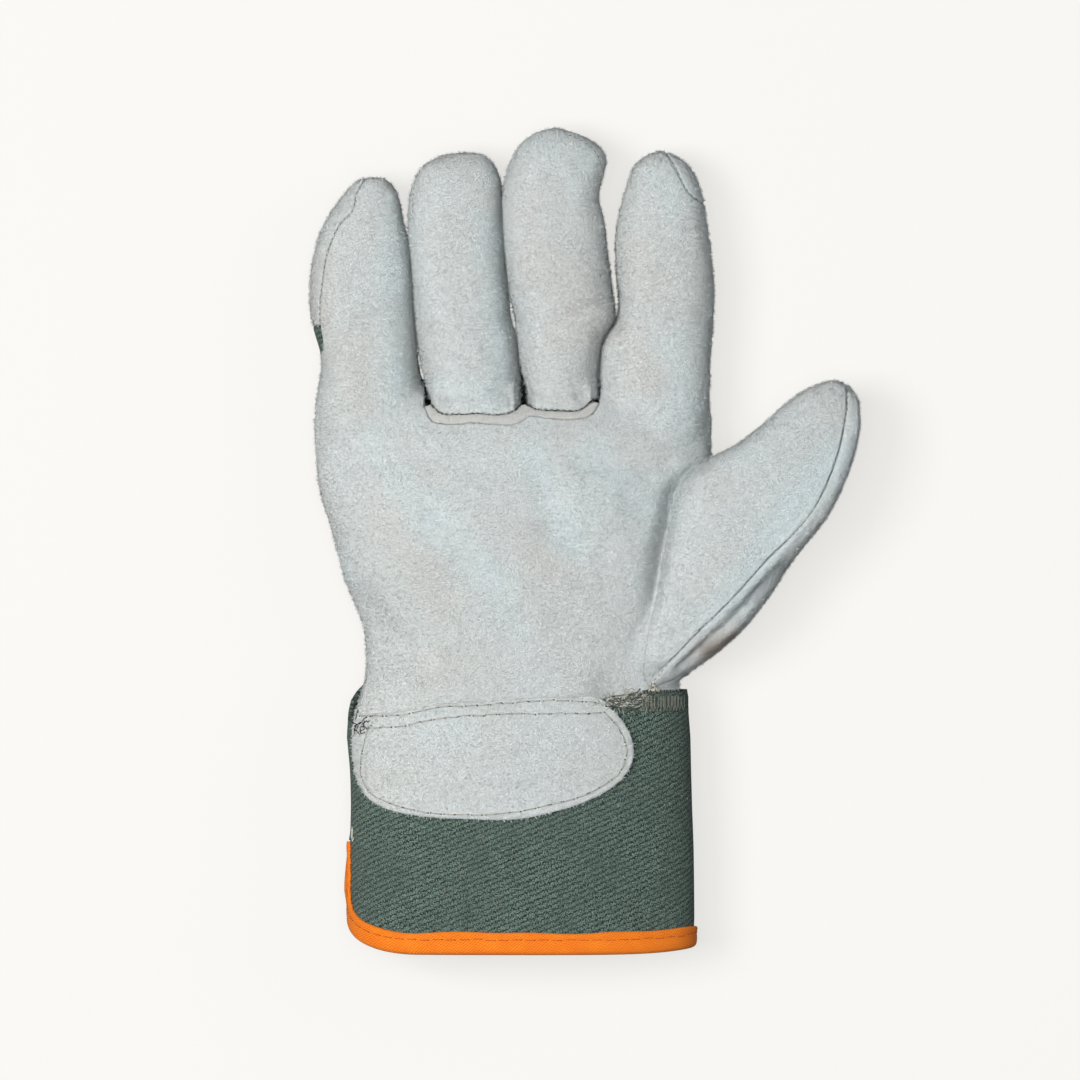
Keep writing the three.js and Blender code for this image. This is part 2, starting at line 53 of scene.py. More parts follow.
FINE = 0.8                   # size of a facet of the leather
BACK_FINE = 1.15             # and of the twill back
HAND_SEAM_Z = 12             # height of the seam between palm and back
THUMB_SEAM_Z = 18            # height of the thumb's inner seam
WIDEST = 0.42                # share of a section's height where it is widest
PALM_ROUND = 2.15            # superellipse power of the upper half of a section
FINGER_ROUND = 2.4           # of a finger's
THUMB_ROUND = 3.4            # and of the thumb's
BACK_ROUND = 2.9             # and of the lower half, which is flatter
VENT_TOP = 35                # height of the cuff's side vent
VENT_HALF = 2.7              # half of its width
VENT_TURN = 0.17             # it lies this much below the cuff's side, as an angle
CORNER_AROUND = 32           # rounded corner of the cuff, along the hem
CORNER_UP = 18               # and up the vent's edge
HEM = 1.45                   # cloth's edge above the binding's fold
HEM_RISE = 1.8               # the hem climbs this much at the thumb side
FAR = 400                    # longer than the glove, for cutting
ROLL = 0.8                   # radius of the leather's edge where it turns down into a seam
LIP = 1.6                    # how far the edge goes on below the seam
UNEVEN = 0.5                 # height of the leather's unevenness
BIG_LUMP, SMALL_LUMP = 16, 6  # and the size of its lumps
ADRIFT = 0.03                # corners closer than this are one after a cut
SLIVER = 0.16                # and this close along a cut edge
NAP_DENSITY = 1.9            # loose fibres of the nap in a square millimetre
NAP_LOWEST = -0.3            # none where the leather faces further down than this
PALM_OVER = 1.8              # the palm leather and the patch lie this far above the cuff's surface
SEED = 7

# Sections of each limb: y, left, right, bottom, top
HAND = [
    (70.0, -50.2, 51.6, 3.5, 37.4), (76.0, -48.6, 51.5, 3.5, 37.2), (81.0, -46.9, 51.4, 3.5, 37.1),
    (85.2, -45.9, 51.4, 3.5, 37.0), (89.0, -45.6, 52.6, 1.0, 37.6), (94.0, -45.6, 53.8, -0.8, 38.2),
    (100.5, -46.2, 55.0, -1.2, 39.6), (108.0, -49.0, 56.2, -1.2, 41.0),
    (116.0, -52.4, 57.6, -1.2, 41.8), (125.0, -54.6, 59.2, -1.2, 42.0), (135.0, -57.2, 60.8, -1.2, 41.6),
    (145.0, -60.2, 61.5, -1.2, 40.2), (154.0, -61.4, 61.5, -1.2, 37.8), (161.5, -61.5, 61.5, -1.2, 35.2),
    (167.5, -61.0, 61.4, -0.6, 32.2), (172.0, -58.0, 58.8, 2.0, 27.0), (175.0, -50.0, 51.0, 7.0, 20.0)]
LITTLE = [
    (148, -56.0, -30.0, -0.8, 25.0), (158, -59.6, -28.4, -0.8, 28.4), (170, -61.0, -27.6, -0.6, 29.8),
    (182, -59.6, -29.6, -0.2, 29.8), (196, -62.3, -30.3, 0.8, 29.2), (211, -62.6, -31.3, 2.4, 28.2),
    (219, -61.4, -32.2, 3.4, 27.5), (227, -58.0, -34.0, 4.6, 26.6), (233, -54.0, -35.4, 6.2, 25.2),
    (237, -51.2, -36.8, 8.0, 23.4), (239.8, -48.4, -39.8, 10.6, 20.6)]
RING = [
    (150, -26.0, 2.4, -0.4, 30.2), (167, -25.6, 2.4, -0.4, 30.8), (182, -28.2, 2.0, 0.2, 31.0),
    (190, -29.6, 1.1, 0.6, 31.2), (196, -30.5, -0.7, 1.0, 31.2), (204, -31.1, -1.3, 1.7, 31.0),
    (211, -31.5, -2.0, 2.4, 30.8), (226, -32.4, -3.1, 4.4, 29.6), (234, -32.0, -3.3, 6.0, 28.4),
    (240, -30.3, -3.9, 7.8, 26.8), (244.6, -27.2, -6.0, 9.8, 24.6), (247.4, -22.0, -8.6, 13.0, 21.2)]
MIDDLE = [
    (150, 4.8, 26.4, -0.4, 30.6), (167, 4.8, 26.4, -0.4, 31.2), (174, 4.4, 26.5, -0.1, 31.8),
    (182, 2.2, 26.7, 0.2, 32.4), (190, 1.3, 28.2, 0.6, 33.0), (196, 1.0, 31.6, 1.2, 33.4),
    (204, -1.2, 31.0, 1.8, 33.6), (211, -2.2, 30.2, 2.6, 33.4), (219, -2.8, 29.0, 3.6, 33.2),
    (227, -3.4, 28.4, 4.8, 32.6), (234, -3.4, 26.7, 6.0, 31.6),
    (241.5, -2.2, 28.2, 7.6, 30.0), (247, 0.2, 28.8, 9.6, 28.0), (251.5, 3.4, 24.8, 12.0, 25.4),
    (254.4, 8.0, 18.6, 14.8, 22.0)]
INDEX = [
    (148, 30.0, 56.0, -0.8, 26.0), (158, 28.0, 59.6, -0.8, 29.6), (170, 26.6, 61.0, -0.6, 31.2),
    (182, 26.4, 61.0, -0.2, 31.6), (190, 27.6, 61.5, 0.4, 31.8), (196, 31.8, 62.0, 1.0, 31.6),
    (211, 32.0, 62.0, 2.4, 31.0), (226, 32.2, 60.2, 4.2, 30.2), (234, 34.0, 59.0, 5.6, 29.0),
    (240, 35.8, 57.0, 7.4, 27.2), (244.5, 38.0, 54.0, 9.6, 24.8), (247.2, 41.5, 50.6, 12.4, 21.6)]
# The thumb's rows run along its own axis: y from its base, x across it
THUMB = [
    (-14, -8.0, 8.0, 6.0, 32.0), (-8, -8.6, 12.0, 2.6, 34.0), (-1, -8.4, 14.4, 1.0, 35.6),
    (8, -9.4, 17.4, 0.4, 38.4), (20, -14.0, 19.6, 0.8, 41.8), (32, -19.0, 19.8, 2.0, 43.4),
    (44, -23.2, 18.8, 3.6, 43.6), (53, -21.4, 18.8, 5.2, 43.0), (62, -17.0, 19.2, 7.0, 41.8),
    (73, -13.6, 17.4, 9.4, 39.6), (84, -11.2, 13.8, 12.2, 36.8), (92, -8.2, 9.8, 14.8, 34.2),
    (97, -4.8, 5.6, 18.0, 30.8)]
TIPS = {"hand": 176.5, "little": 240.8, "ring": 248.4, "middle": 256.0, "index": 248.9, "thumb": 99.2}
THUMB_BASE = (44, 97)
THUMB_TURN = -37             # degrees from the glove's length
CUFF = [
    (0, -50.9, 55.4, 1.5, 41.4), (11, -50.8, 55.8, 1.5, 42.0), (33, -50.5, 55.5, 1.5, 42.4),
    (45, -50.0, 55.1, 1.5, 42.4), (56, -50.2, 54.9, 1.5, 42.0), (67, -51.3, 54.8, 1.5, 41.2),
    (75, -50.9, 54.3, 1.5, 40.0), (86, -48.4, 53.8, 1.5, 39.4)]
# Upper edge of the cuff: x, height on the palm side, height on the back
CUFF_TOP = [
    (-51.4, 73, 73), (-50.6, 73, 77.5), (-49, 73, 81.4), (-46.4, 73, 84.6), (-35, 73, 84),
    (-20, 75.4, 83), (0, 76.8, 82), (24, 77.4, 81.8), (30, 80, 81.8), (56, 81.5, 81.8)]

# Seams, seen from above
LITTLE_SEAM = [
    (-44, 242), (-47, 238.2), (-48.6, 235), (-49.8, 230), (-53.2, 226.4), (-57.4, 217.4), (-59.4, 206),
    (-60, 196), (-59.8, 186), (-66, 186)]
INDEX_SEAM = [(46.6, 250), (48.4, 246.6), (50.8, 242.4), (54.4, 235.6), (60, 232), (66, 232)]
RING_SEAM = [(-30.6, 227), (-30.9, 233.4), (-30, 239.6), (-28, 243.4), (-24.6, 245.6), (-18, 246.4)]
MIDDLE_SEAM = [(17, 253.4), (22.6, 250.6), (26.2, 247), (27.4, 243)]
WELT_LOW = [
    (-27.4, 169.4), (-25, 165), (-20.5, 164), (-12, 164.4), (-5, 163.9), (1.6, 164.3), (5, 166.4),
    (11, 165.9), (18, 165.5), (24.4, 167), (26.8, 170.6)]
WELT_HIGH = [
    (-25.4, 170.2), (-22.6, 167.5), (-17, 166.9), (-11, 167.2), (-4, 166.8), (0.4, 168), (3.2, 170.2),
    (6.4, 168.8), (14, 168.2), (21, 168.4), (24.2, 171)]
WINDOW_SHOULDER = 172        # from here up the two fronts are as wide as their fingers
THUMB_SEAM = [
    (103, 180), (103.2, 169.5), (101.6, 160), (97, 146), (92, 136.6), (78.5, 122), (69, 111.5),
    (52.5, 95), (43.5, 84.4), (40, 80)]
THUMB_SEAM_END = (43.1, 82.4)
THUMB_CREASE = [
    (64, 160), (60.6, 153), (54.6, 149), (50.4, 144.4), (48.6, 134.6), (46.8, 125), (44.4, 111),
    (41.8, 99), (40.6, 90), (40.8, 85.4), (43, 82.2)]
# The fold along the crease: y, how deep, how far it reaches into the palm and into the thumb
CREASE_FOLD = [
    (78, 0.2, 3.0, 2.4), (88, 0.4, 3.0, 2.4), (98, 0.5, 3.0, 2.2), (107, 2.2, 3.4, 1.6),
    (115, 4.2, 3.8, 1.4), (125, 5.4, 4.2, 1.3), (135, 5.0, 3.4, 1.3), (142, 3.8, 2.6, 1.4),
    (148, 2.6, 1.6, 1.8), (153, 2.4, 1.3, 1.8), (160, 1.0, 1.3, 1.8)]
WRIST_LINE = [(43, 82.2), (52, 86), (FAR, 190)]  # below it the palm leather runs on round the wrist
PATCH_EDGE = [
    (-49.6, 73.6), (-50.2, 66), (-50, 61), (-48.4, 53.6), (-45.2, 48.4), (-39, 45), (-29, 43), (-12, 42),
    (2, 42.1), (11.5, 44), (21, 46.8), (28.6, 50.4), (34.2, 54.8), (37, 59.6), (37.4, 64.6), (35.4, 70),
    (31.8, 74.8), (27.6, 78.8), (14.5, 79.6), (2, 79.1), (-10, 78.2), (-22.5, 77.4), (-35, 75)]
UNDER_CUFF = 79              # the back's twill ends here, inside the cuff
# From here up the backs of the fingers are leather
TIP_Y = {"little": 194.5, "ring": 203, "middle": 205, "index": 176}

# Dents and swells of the palm side: a short line, how far it reaches, how deep it goes (a swell is negative)
RELIEF = [
    (50, 146.6, 43, 146.6, 1.8, 1.0), (43, 146.6, 35, 142.5, 2.4, 1.5), (50, 143, 36, 138, 5.0, 1.0),
    (83.4, 119.4, 68.8, 104.2, 1.5, 1.8), (68.8, 104.2, 51.8, 88.4, 1.5, 1.5), (82, 113, 64, 96, 3.0, -1.0),
    (103.6, 160, 98.6, 144, 1.6, -0.7), (98.6, 144, 80, 121, 1.6, -0.8), (80, 121, 50, 90.5, 1.5, -0.8),
    (9.5, 146, 12, 133, 5.5, 1.5), (12, 133, 21, 126, 5.0, 2.6), (21, 126, 27, 124, 4.5, 1.6),
    (21, 138, 30, 136, 9.0, -1.8), (21, 152, 48, 152, 4.0, 1.4), (12, 159, 46, 159, 5.5, -0.8),
    (-52, 152, -29, 153.5, 4.5, 1.3), (-50, 160.5, -30, 160, 4.5, -0.7), (-26, 131, -13, 117, 5.0, 1.9),
    (-13, 117, 0, 106, 6.0, 1.5), (-18, 134, 2, 112, 5.0, -0.5), (-47, 108, -35, 94, 5.5, 1.4),
    (-35, 94, -29, 87, 5.0, 1.3), (-36, 107, -24, 94, 4.5, -0.7), (-8, 158, 6, 159, 6.0, -0.5),
    (-15, 155, -18, 132, 6.0, -0.4), (22, 106, 33, 96, 4.0, -0.5), (28, 116, 12, 96, 6.0, 0.4),
    (-27, 191, -16, 186, 3.2, 0.9), (-24, 184, -12, 182, 5.0, -0.6), (-2, 179, -8, 192, 4.0, 0.5),
    (2, 204, 16, 207, 2.6, 0.7), (16, 207, 28, 209, 2.6, 0.9), (11, 193, 22, 199, 2.4, 0.7),
    (22, 199, 28, 201, 2.2, 0.8), (8, 198, 24, 203, 2.6, -0.4), (34, 186, 46, 190, 4.0, 0.5),
    (44, 204, 59, 198, 4.0, 0.7), (40, 212, 52, 222, 6.0, -0.4), (-55, 190, -40, 186, 3.5, 0.5),
    (-50, 205, -38, 210, 4.0, 0.4)]

# Where the leather is warmer, or cooler if negative: a short line, how far it reaches, how much
TONES = [
    (-45, 159, -2, 110, 7, -0.6), (5, 155, 19, 127, 6, -0.7), (26, 152, 43, 140, 8, -0.5),
    (-38, 232, -36, 176, 5, -0.5), (-7, 225, -3, 180, 5, -0.5), (0, 112, 2, 100, 6, -0.3),
    (50, 190, 54, 165, 6, -0.3), (-20, 176, -8, 172, 6, -0.5), (45, 240, 50, 230, 5, -0.4),
    (-52, 188, -46, 170, 7, 0.6), (8, 222, 22, 190, 9, 0.5), (37, 215, 46, 200, 9, 0.5),
    (35, 192, 42, 178, 6, 0.7), (-42, 138, -22, 108, 7, 0.6), (0, 128, 34, 104, 7, 0.3),
    (-58, 215, -60, 195, 5, 0.5), (-22, 225, -15, 195, 7, 0.4), (-45, 95, -20, 84, 8, 0.3),
    (101, 154, 62, 104, 6, -0.9), (68, 98, 60, 94, 3.5, 2.0)]


# Section tables and lines

def smooth_values(given, at):
    """Rows whose first column rises, read at other places along a smooth curve through them."""
    given = np.array(given, float)
    key = given[:, 0]
    slope = np.gradient(given, key, axis=0)
    low = np.clip(np.searchsorted(key, at, side="right") - 1, 0, len(key) - 2)
    span = key[low + 1] - key[low]
    t = ((at - key[low]) / span)[:, None]
    span = span[:, None]
    return ((2 * t**3 - 3 * t**2 + 1) * given[low] + (t**3 - 2 * t**2 + t) * span * slope[low]
            + (3 * t**2 - 2 * t**3) * given[low + 1] + (t**3 - t**2) * span * slope[low + 1])


def unit(rows):
    """Each row at length one."""
    return rows / np.linalg.norm(rows, axis=1)[:, None]


def lengths_along(points):
    """How far along its line each point lies."""
    return np.concatenate([[0], np.cumsum(np.linalg.norm(np.diff(points, axis=0), axis=1))])


def smooth_line(points, step=1.2):
    """The same line with rounded bends and points about one step apart."""
    points = np.array(points, float)
    along = lengths_along(points)
    rows = np.column_stack([along, points])
    at = np.linspace(0, along[-1], max(2, int(along[-1] / step) + 1))
    return smooth_values(rows, at)[:, 1:]


def beside(line, distance):
    """The line moved sideways, to its left as it runs."""
    line = np.array(line, float)
    run = unit(np.gradient(line, axis=0))
    return line + distance * np.column_stack([-run[:, 1], run[:, 0]])


def smooth_step(low, high, value):
    t = np.clip((value - low) / (high - low), 0, 1)
    return t * t * (3 - 2 * t)


def signed_power(value, power):
    return np.sign(value) * np.abs(value) ** power


def on_section(rows, angle, grow=0.0, top_round=PALM_ROUND):
    """Points on sections: angle 0 is the right side and a quarter turn is the top."""
    y, left, right, bottom, top = np.array(rows, float).T
    up = np.sin(angle) >= 0
    power = 2 / np.where(up, top_round, BACK_ROUND)
    middle = bottom + (top - bottom) * WIDEST
    half = (right - left) / 2 + grow
    height = np.where(up, top - middle, middle - bottom) + grow
    return np.column_stack([(left + right) / 2 + half * signed_power(np.cos(angle), power), y,
                            middle + height * signed_power(np.sin(angle), power)])


# Mesh helpers

def deselect():
    bpy.ops.object.select_all(action="DESELECT")


def activate(piece):
    deselect()
    piece.select_set(True)
    bpy.context.view_layer.objects.active = piece


def coordinates(piece):
    places = np.empty(len(piece.data.vertices) * 3)
    piece.data.vertices.foreach_get("co", places)
    return places.reshape(-1, 3)


def set_coordinates(piece, places):
    piece.data.vertices.foreach_set("co", np.ascontiguousarray(places).ravel())
    piece.data.update()


def normals(piece):
    out = np.empty(len(piece.data.vertices) * 3)
    piece.data.vertices.foreach_get("normal", out)
    return out.reshape(-1, 3)


def apply(piece, kind, **settings):
    """Adds one modifier and applies it."""
    activate(piece)
    modifier = piece.modifiers.new("step", kind)
    for name, value in settings.items():
        setattr(modifier, name, value)
    bpy.ops.object.modifier_apply(modifier=modifier.name)
    return piece


def linked(name, data):
    """A new object in the scene that shows the data."""
    made = bpy.data.objects.new(name, data)
    bpy.context.scene.collection.objects.link(made)
    return made


def copy_of(piece, name):
    return linked(name, piece.data.copy())


def edited(piece, *steps):
    """Takes steps in edit mode, on the whole piece."""
    activate(piece)
    bpy.ops.object.mode_set(mode="EDIT")
    for step in steps:
        bpy.ops.mesh.select_all(action="SELECT")
        step()
    bpy.ops.object.mode_set(mode="OBJECT")


def face_outwards():
    bpy.ops.mesh.normals_make_consistent(inside=False)


def drop(*pieces):
    for piece in pieces:
        bpy.data.objects.remove(piece)


def joined(name, pieces):
    deselect()
    for piece in pieces:
        piece.select_set(True)
    bpy.context.view_layer.objects.active = pieces[0]
    bpy.ops.object.join()
    pieces[0].name = name
    return pieces[0]


def grid_places(columns, rows):
    """Column and row of each crossing of a grid primitive, in its own order."""
    row, column = np.divmod(np.arange(columns * rows), columns)
    return column, row


def grid_piece(name, columns, rows, place):
    """A grid primitive whose crossings are put in place by their column and row."""
    deselect()
    bpy.ops.mesh.primitive_grid_add(x_subdivisions=columns - 1, y_subdivisions=rows - 1, size=2)
    made = bpy.context.active_object
    made.name = name
    set_coordinates(made, place(*grid_places(columns, rows)))
    return made


def lay_weave(piece, flat):
    """A UV map in metres along the cloth, one place for each vertex in millimetres."""
    layer = piece.data.uv_layers.new(name="weave")
    corners = np.empty(len(piece.data.loops), int)
    piece.data.loops.foreach_get("vertex_index", corners)
    layer.data.foreach_set("uv", (flat[corners] * MM).ravel())


def close_up(piece, within=0.01):
    """Joins the crossings that meet and turns the faces outwards."""
    edited(piece, lambda: bpy.ops.mesh.remove_doubles(threshold=within), face_outwards)


# Limbs, lofted from a circle that is extruded once for each section

def loft(name, rows, tip, sides=56, step=1.6, top_round=PALM_ROUND):
    rows = np.array(rows, float)
    at = np.unique(np.concatenate([np.arange(rows[0, 0], rows[-1, 0], step), rows[:, 0]]))
    fine = smooth_values(rows, at)
    deselect()
    bpy.ops.mesh.primitive_circle_add(vertices=sides, radius=1, fill_type="NGON")
    skin = bpy.context.active_object
    skin.name = name

    def rise():
        for _ in fine[1:]:
            bpy.ops.mesh.extrude_region_move(TRANSFORM_OT_translate={"value": (0, 0, 1)})
        bpy.ops.mesh.poke()

    edited(skin, rise)
    start = coordinates(skin)
    level = np.round(start[:, 2]).astype(int)
    angle = np.arctan2(start[:, 1], start[:, 0])
    rounding = top_round(fine[level, 0], angle) if callable(top_round) else top_round
    places = on_section(fine[level], angle, 0, rounding)
    centre = np.hypot(start[:, 0], start[:, 1]) < 0.5
    _, left, right, bottom, top = fine[-1]
    places[centre] = ((left + right) / 2, tip, bottom + (top - bottom) * WIDEST)
    set_coordinates(skin, places)
    edited(skin, face_outwards)
    return skin


def skinned(name, limbs, rounds):
    """Limbs grown together into one even skin, smoothed where they meet."""
    form = joined(name, limbs)
    apply(form, "REMESH", mode="VOXEL", voxel_size=FINE)
    apply(form, "SMOOTH", factor=0.5, iterations=rounds)
    return form


def capsule_push(places, table):
    """How far the deepest dent and the highest swell push each place down, seen from above."""
    dent, swell = np.zeros((2, len(places)))
    for x0, y0, x1, y1, reach, depth in table:
        start = np.array([x0, y0], float)
        run = np.array([x1, y1], float) - start
        share = np.clip(((places[:, :2] - start) @ run) / (run @ run), 0, 1)
        away = np.linalg.norm(places[:, :2] - start - share[:, None] * run, axis=1)
        push = depth * np.exp(-((away / reach) ** 2))
        dent = np.maximum(dent, push)
        swell = np.minimum(swell, push)
    return dent + swell


def lumps(places, size, seed):
    """Soft seeded unevenness from -1 to 1, with bumps of about that size in millimetres."""
    shift = Vector((seed * 3.1, seed * 7.7, seed * 1.3))
    return np.array([noise.noise(Vector(place) / size + shift) for place in places])


def sculpt(form):
    """Dents, swells and unevenness of worn-in leather, and the flat where it lies."""
    places = coordinates(form)
    facing = normals(form)
    up = np.clip(facing[:, 2] * 1.6, 0, 1)
    push = capsule_push(places, RELIEF) * up
    push += UNEVEN * lumps(places, BIG_LUMP, SEED) + 0.4 * UNEVEN * lumps(places, SMALL_LUMP, SEED + 1)
    places -= facing * push[:, None]
    places[:, 2] = np.maximum(places[:, 2], 0.02)
    set_coordinates(form, places)


# Cutting blocks

SKIN, CUT = 0, 1


def add_marks(piece):
    """Two materials that tell a form's own skin from what a block has cut."""
    for mark in (skin_mark, cut_mark):
        piece.data.materials.append(mark)


def mark_as_cut(piece):
    for face in piece.data.polygons:
        face.material_index = CUT
    return piece


def block(outline, low=-5, high=FAR):
    """Upright block over an outline seen from above; its faces are marked as cut."""
    outline = np.array(outline, float)
    mesh = bpy.data.meshes.new("block")
    mesh.from_pydata([(x, y, low) for x, y in outline], [], [range(len(outline))])
    made = linked("block", mesh)
    up = {"value": (0, 0, high - low)}
    edited(made, lambda: bpy.ops.mesh.extrude_region_move(TRANSFORM_OT_translate=up), face_outwards)
    add_marks(made)
    return mark_as_cut(made)


def slab(z0, z1):
    return block([(-FAR, -FAR), (FAR, -FAR), (FAR, FAR), (-FAR, FAR)], z0, z1)


def merged(*blocks):
    whole = blocks[0]
    for other in blocks[1:]:
        apply(whole, "BOOLEAN", operation="UNION", solver="MANIFOLD", object=other)
        drop(other)
    return whole


def marked(form):
    """The form as a block: its faces are marked as cut."""
    return mark_as_cut(copy_of(form, "block"))


def sheet_of(name, form, keep=(), leave=()):
    """An open sheet: the form's skin inside every block to keep and outside every block to leave."""
    sheet = copy_of(form, name)
    for blocks, operation in ((keep, "INTERSECT"), (leave, "DIFFERENCE")):
        for made in blocks:
            apply(sheet, "BOOLEAN", operation=operation, solver="MANIFOLD", object=made)
            drop(made)
    mesh = bmesh.new()
    mesh.from_mesh(sheet.data)
    bmesh.ops.delete(mesh, geom=[f for f in mesh.faces if f.material_index == CUT], context="FACES")
    bmesh.ops.remove_doubles(mesh, verts=mesh.verts, dist=ADRIFT)
    bmesh.ops.dissolve_degenerate(mesh, edges=mesh.edges, dist=ADRIFT)
    mesh.to_mesh(sheet.data)
    mesh.free()
    return sheet


def tree_over(spots):
    tree = kdtree.KDTree(len(spots))
    for index, spot in enumerate(spots):
        tree.insert(spot, index)
    tree.balance()
    return tree


def boundary_spots(mesh, calm, step=0.3):
    """Places along the sheet's rim, apart from those within a millimetre of a calm line."""
    spots = []
    for edge in mesh.edges:
        if edge.is_boundary:
            a, b = edge.verts[0].co, edge.verts[1].co
            count = max(1, int((a - b).length / step))
            spots += [a.lerp(b, k / count) for k in range(count)]
    if calm:
        lines = np.concatenate([smooth_line(line, 0.5) for line in calm])
        flat = np.array([spot[:2] for spot in spots])
        clear = [np.linalg.norm(lines - spot, axis=1).min() > 1.0 for spot in flat]
        spots = [spot for spot, keep in zip(spots, clear) if keep]
    return spots


def trim_sheet(mesh, smallest=60):
    """Merges slivers along the cut edges and drops crumbs that the cutting left."""
    rim = {v for e in mesh.edges if e.is_boundary for v in e.verts}
    close = list(rim | {e.other_vert(v) for v in rim for e in v.link_edges})
    bmesh.ops.remove_doubles(mesh, verts=close, dist=SLIVER)
    bmesh.ops.dissolve_degenerate(mesh, edges=mesh.edges, dist=0.05)
    seen = set()
    for start in list(mesh.faces):
        if start in seen:
            continue
        island, front = {start}, [start]
        while front:
            face = front.pop()
            for edge in face.edges:
                for other in edge.link_faces:
                    if other not in island:
                        island.add(other)
                        front.append(other)
        seen |= island
        if len(island) < smallest:
            bmesh.ops.delete(mesh, geom=list(island), context="FACES")
    loose = [v for v in mesh.verts if not v.link_faces]
    bmesh.ops.delete(mesh, geom=loose, context="VERTS")


def roll_edges(sheet, radius=ROLL, lip=LIP, calm=()):
    """Turns the sheet's edges down into the seam, with a short lip below; calm lines stay level."""
    mesh = bmesh.new()
    mesh.from_mesh(sheet.data)
    trim_sheet(mesh)
    tree = tree_over(boundary_spots(mesh, calm))
    near = {v for v in mesh.verts if tree.find(v.co)[2] < radius * 1.15}
    edges = [e for e in mesh.edges if e.calc_length() > 0.45 and e.verts[0] in near and e.verts[1] in near]
    bmesh.ops.subdivide_edges(mesh, edges=edges, cuts=1, use_grid_fill=True)
    bmesh.ops.triangulate(mesh, faces=[f for f in mesh.faces if len(f.verts) > 4])
    mesh.normal_update()
    rim_verts = {v for e in mesh.edges if e.is_boundary for v in e.verts}
    around = [v for v in mesh.verts if tree.find(v.co)[2] < radius + 2 or v in rim_verts]
    facing = [v.normal.copy() for v in around]
    lookup = tree_over([v.co for v in around])

    def steady(place):
        total = Vector()
        for _, index, _ in lookup.find_range(place, 1.3):
            total += facing[index]
        return total.normalized()

    moves = {}
    for vertex in around:
        away = tree.find(vertex.co)[2]
        if away < radius:
            depth = radius - math.sqrt(radius**2 - (radius - away) ** 2)
            moves[vertex] = (steady(vertex.co), depth)
    for vertex, (inward, depth) in moves.items():
        vertex.co -= inward * depth
    rim = [e for e in mesh.edges if e.is_boundary]
    corners = {v: moves[v][0] if v in moves else steady(v.co) for e in rim for v in e.verts}
    places = tree_over([v.co for v in corners])
    directions = list(corners.values())
    made = bmesh.ops.extrude_edge_only(mesh, edges=rim)
    for vertex in made["geom"]:
        if isinstance(vertex, bmesh.types.BMVert):
            vertex.co -= directions[places.find(vertex.co)[1]] * lip
    mesh.to_mesh(sheet.data)
    mesh.free()
    return sheet


chance = np.random.default_rng(SEED)
nap_spots = {}


def note_nap(piece):
    """Picks seeded places on the sheet's outer side for the nap's loose fibres."""
    mesh = piece.data
    mesh.calc_loop_triangles()
    corner = np.empty(len(mesh.loop_triangles) * 3, int)
    mesh.loop_triangles.foreach_get("vertices", corner)
    a, b, c = coordinates(piece)[corner.reshape(-1, 3)].transpose(1, 0, 2)
    across = np.cross(b - a, c - a)
    area = np.linalg.norm(across, axis=1) / 2
    facing = across / np.maximum(2 * area, 1e-9)[:, None]
    share = area * (facing[:, 2] > NAP_LOWEST)
    count = int(share.sum() * NAP_DENSITY)
    if count < 10:
        return
    pick = chance.choice(len(area), count, p=share / share.sum())
    u, v = chance.random((2, count, 1))
    over = u + v > 1
    u, v = np.where(over, 1 - u, u), np.where(over, 1 - v, v)
    nap_spots[piece.name] = (a[pick] + u * (b[pick] - a[pick]) + v * (c[pick] - a[pick]), facing[pick])


def finish_piece(piece, node, material, wall=None):
    """Gives a sheet its thickness, moves the piece into the shared frame and hands it over."""
    if material is leather and wall:
        note_nap(piece)
    if wall:
        apply(piece, "SOLIDIFY", thickness=wall, offset=-1, use_rim=True)
    places = coordinates(piece)
    if material is leather:
        warmth = piece.data.attributes.new("warmth", "FLOAT", "POINT")
        warmth.data.foreach_set("value", capsule_push(places, TONES).astype(np.float32))
    places[:, 2] = np.maximum(places[:, 2], 0)
    set_coordinates(piece, (places - (CENTRE_X, CENTRE_Y, 0)) * MM)
    activate(piece)
    bpy.ops.object.shade_smooth()
    piece.data.materials.clear()
    piece.data.materials.append(material)
    piece.data.polygons.foreach_set("material_index", np.zeros(len(piece.data.polygons), int))
    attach(piece, "root")
    if node:
        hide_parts(node)
    return piece


def sew(name, form, node, keep=(), leave=(), radius=ROLL, lip=LIP, calm=(), wall=LEATHER,
        material=None):
    """Cuts a sheet out of a form, turns its edges into the seams and hands it over; of leather as a rule."""
    sheet = sheet_of(name, form, keep, leave)
    roll_edges(sheet, radius, lip, calm)
    return finish_piece(sheet, node, material or leather, wall)


# Finishes

TUFT, CLUMP = 0.0005, 0.0016     # size of the nap's tufts and clumps, in metres
TUFT_SHARE = 0.72                # how much of the nap's height the tufts make
WALE, KNOT = 0.0016, 0.00095     # spacing of the twill's wales, and of the knots along one
TAPE_WALE, TAPE_KNOT = 0.0007, 0.0009
STAIN = (0.3, 0.25, 0.2)         # worn leather
FLOOR_GLOW = 0.755               # how brightly the floor is seen
LEATHER_COLOURS = ((0.68, 0.78, 0.797), (0.64, 0.64, 0.615), (0.64, 0.645, 0.64))  # cool, warm, and painted shade for the nap's hollows
# the welt's cool, warm, and painted shade for the nap's hollows
WELT_COLOURS = ((0.56, 0.575, 0.56), (0.59, 0.58, 0.55), (0.75, 0.75, 0.74))
TWILL_DARK, TWILL_LIGHT = (0.038, 0.059, 0.049), (0.064, 0.096, 0.08)
TWILL_PALE_FIBRE, TWILL_DARK_FIBRE = (0.12, 0.17, 0.148), (0.008, 0.014, 0.011)
# painted shade for the gaps between the twill's threads, and a darker cloud in its own colour
TWILL_GAP_SHADE, TWILL_CLOUD = (0.003, 0.006, 0.004), (0.03, 0.045, 0.039)
# the last is painted shade for the hollows of the tape's weave
TAPE_DEEP, TAPE_LIGHT, TAPE_GAP_SHADE = (0.43, 0.095, 0.002), (0.48, 0.125, 0.004), (0.26, 0.035, 0.001)


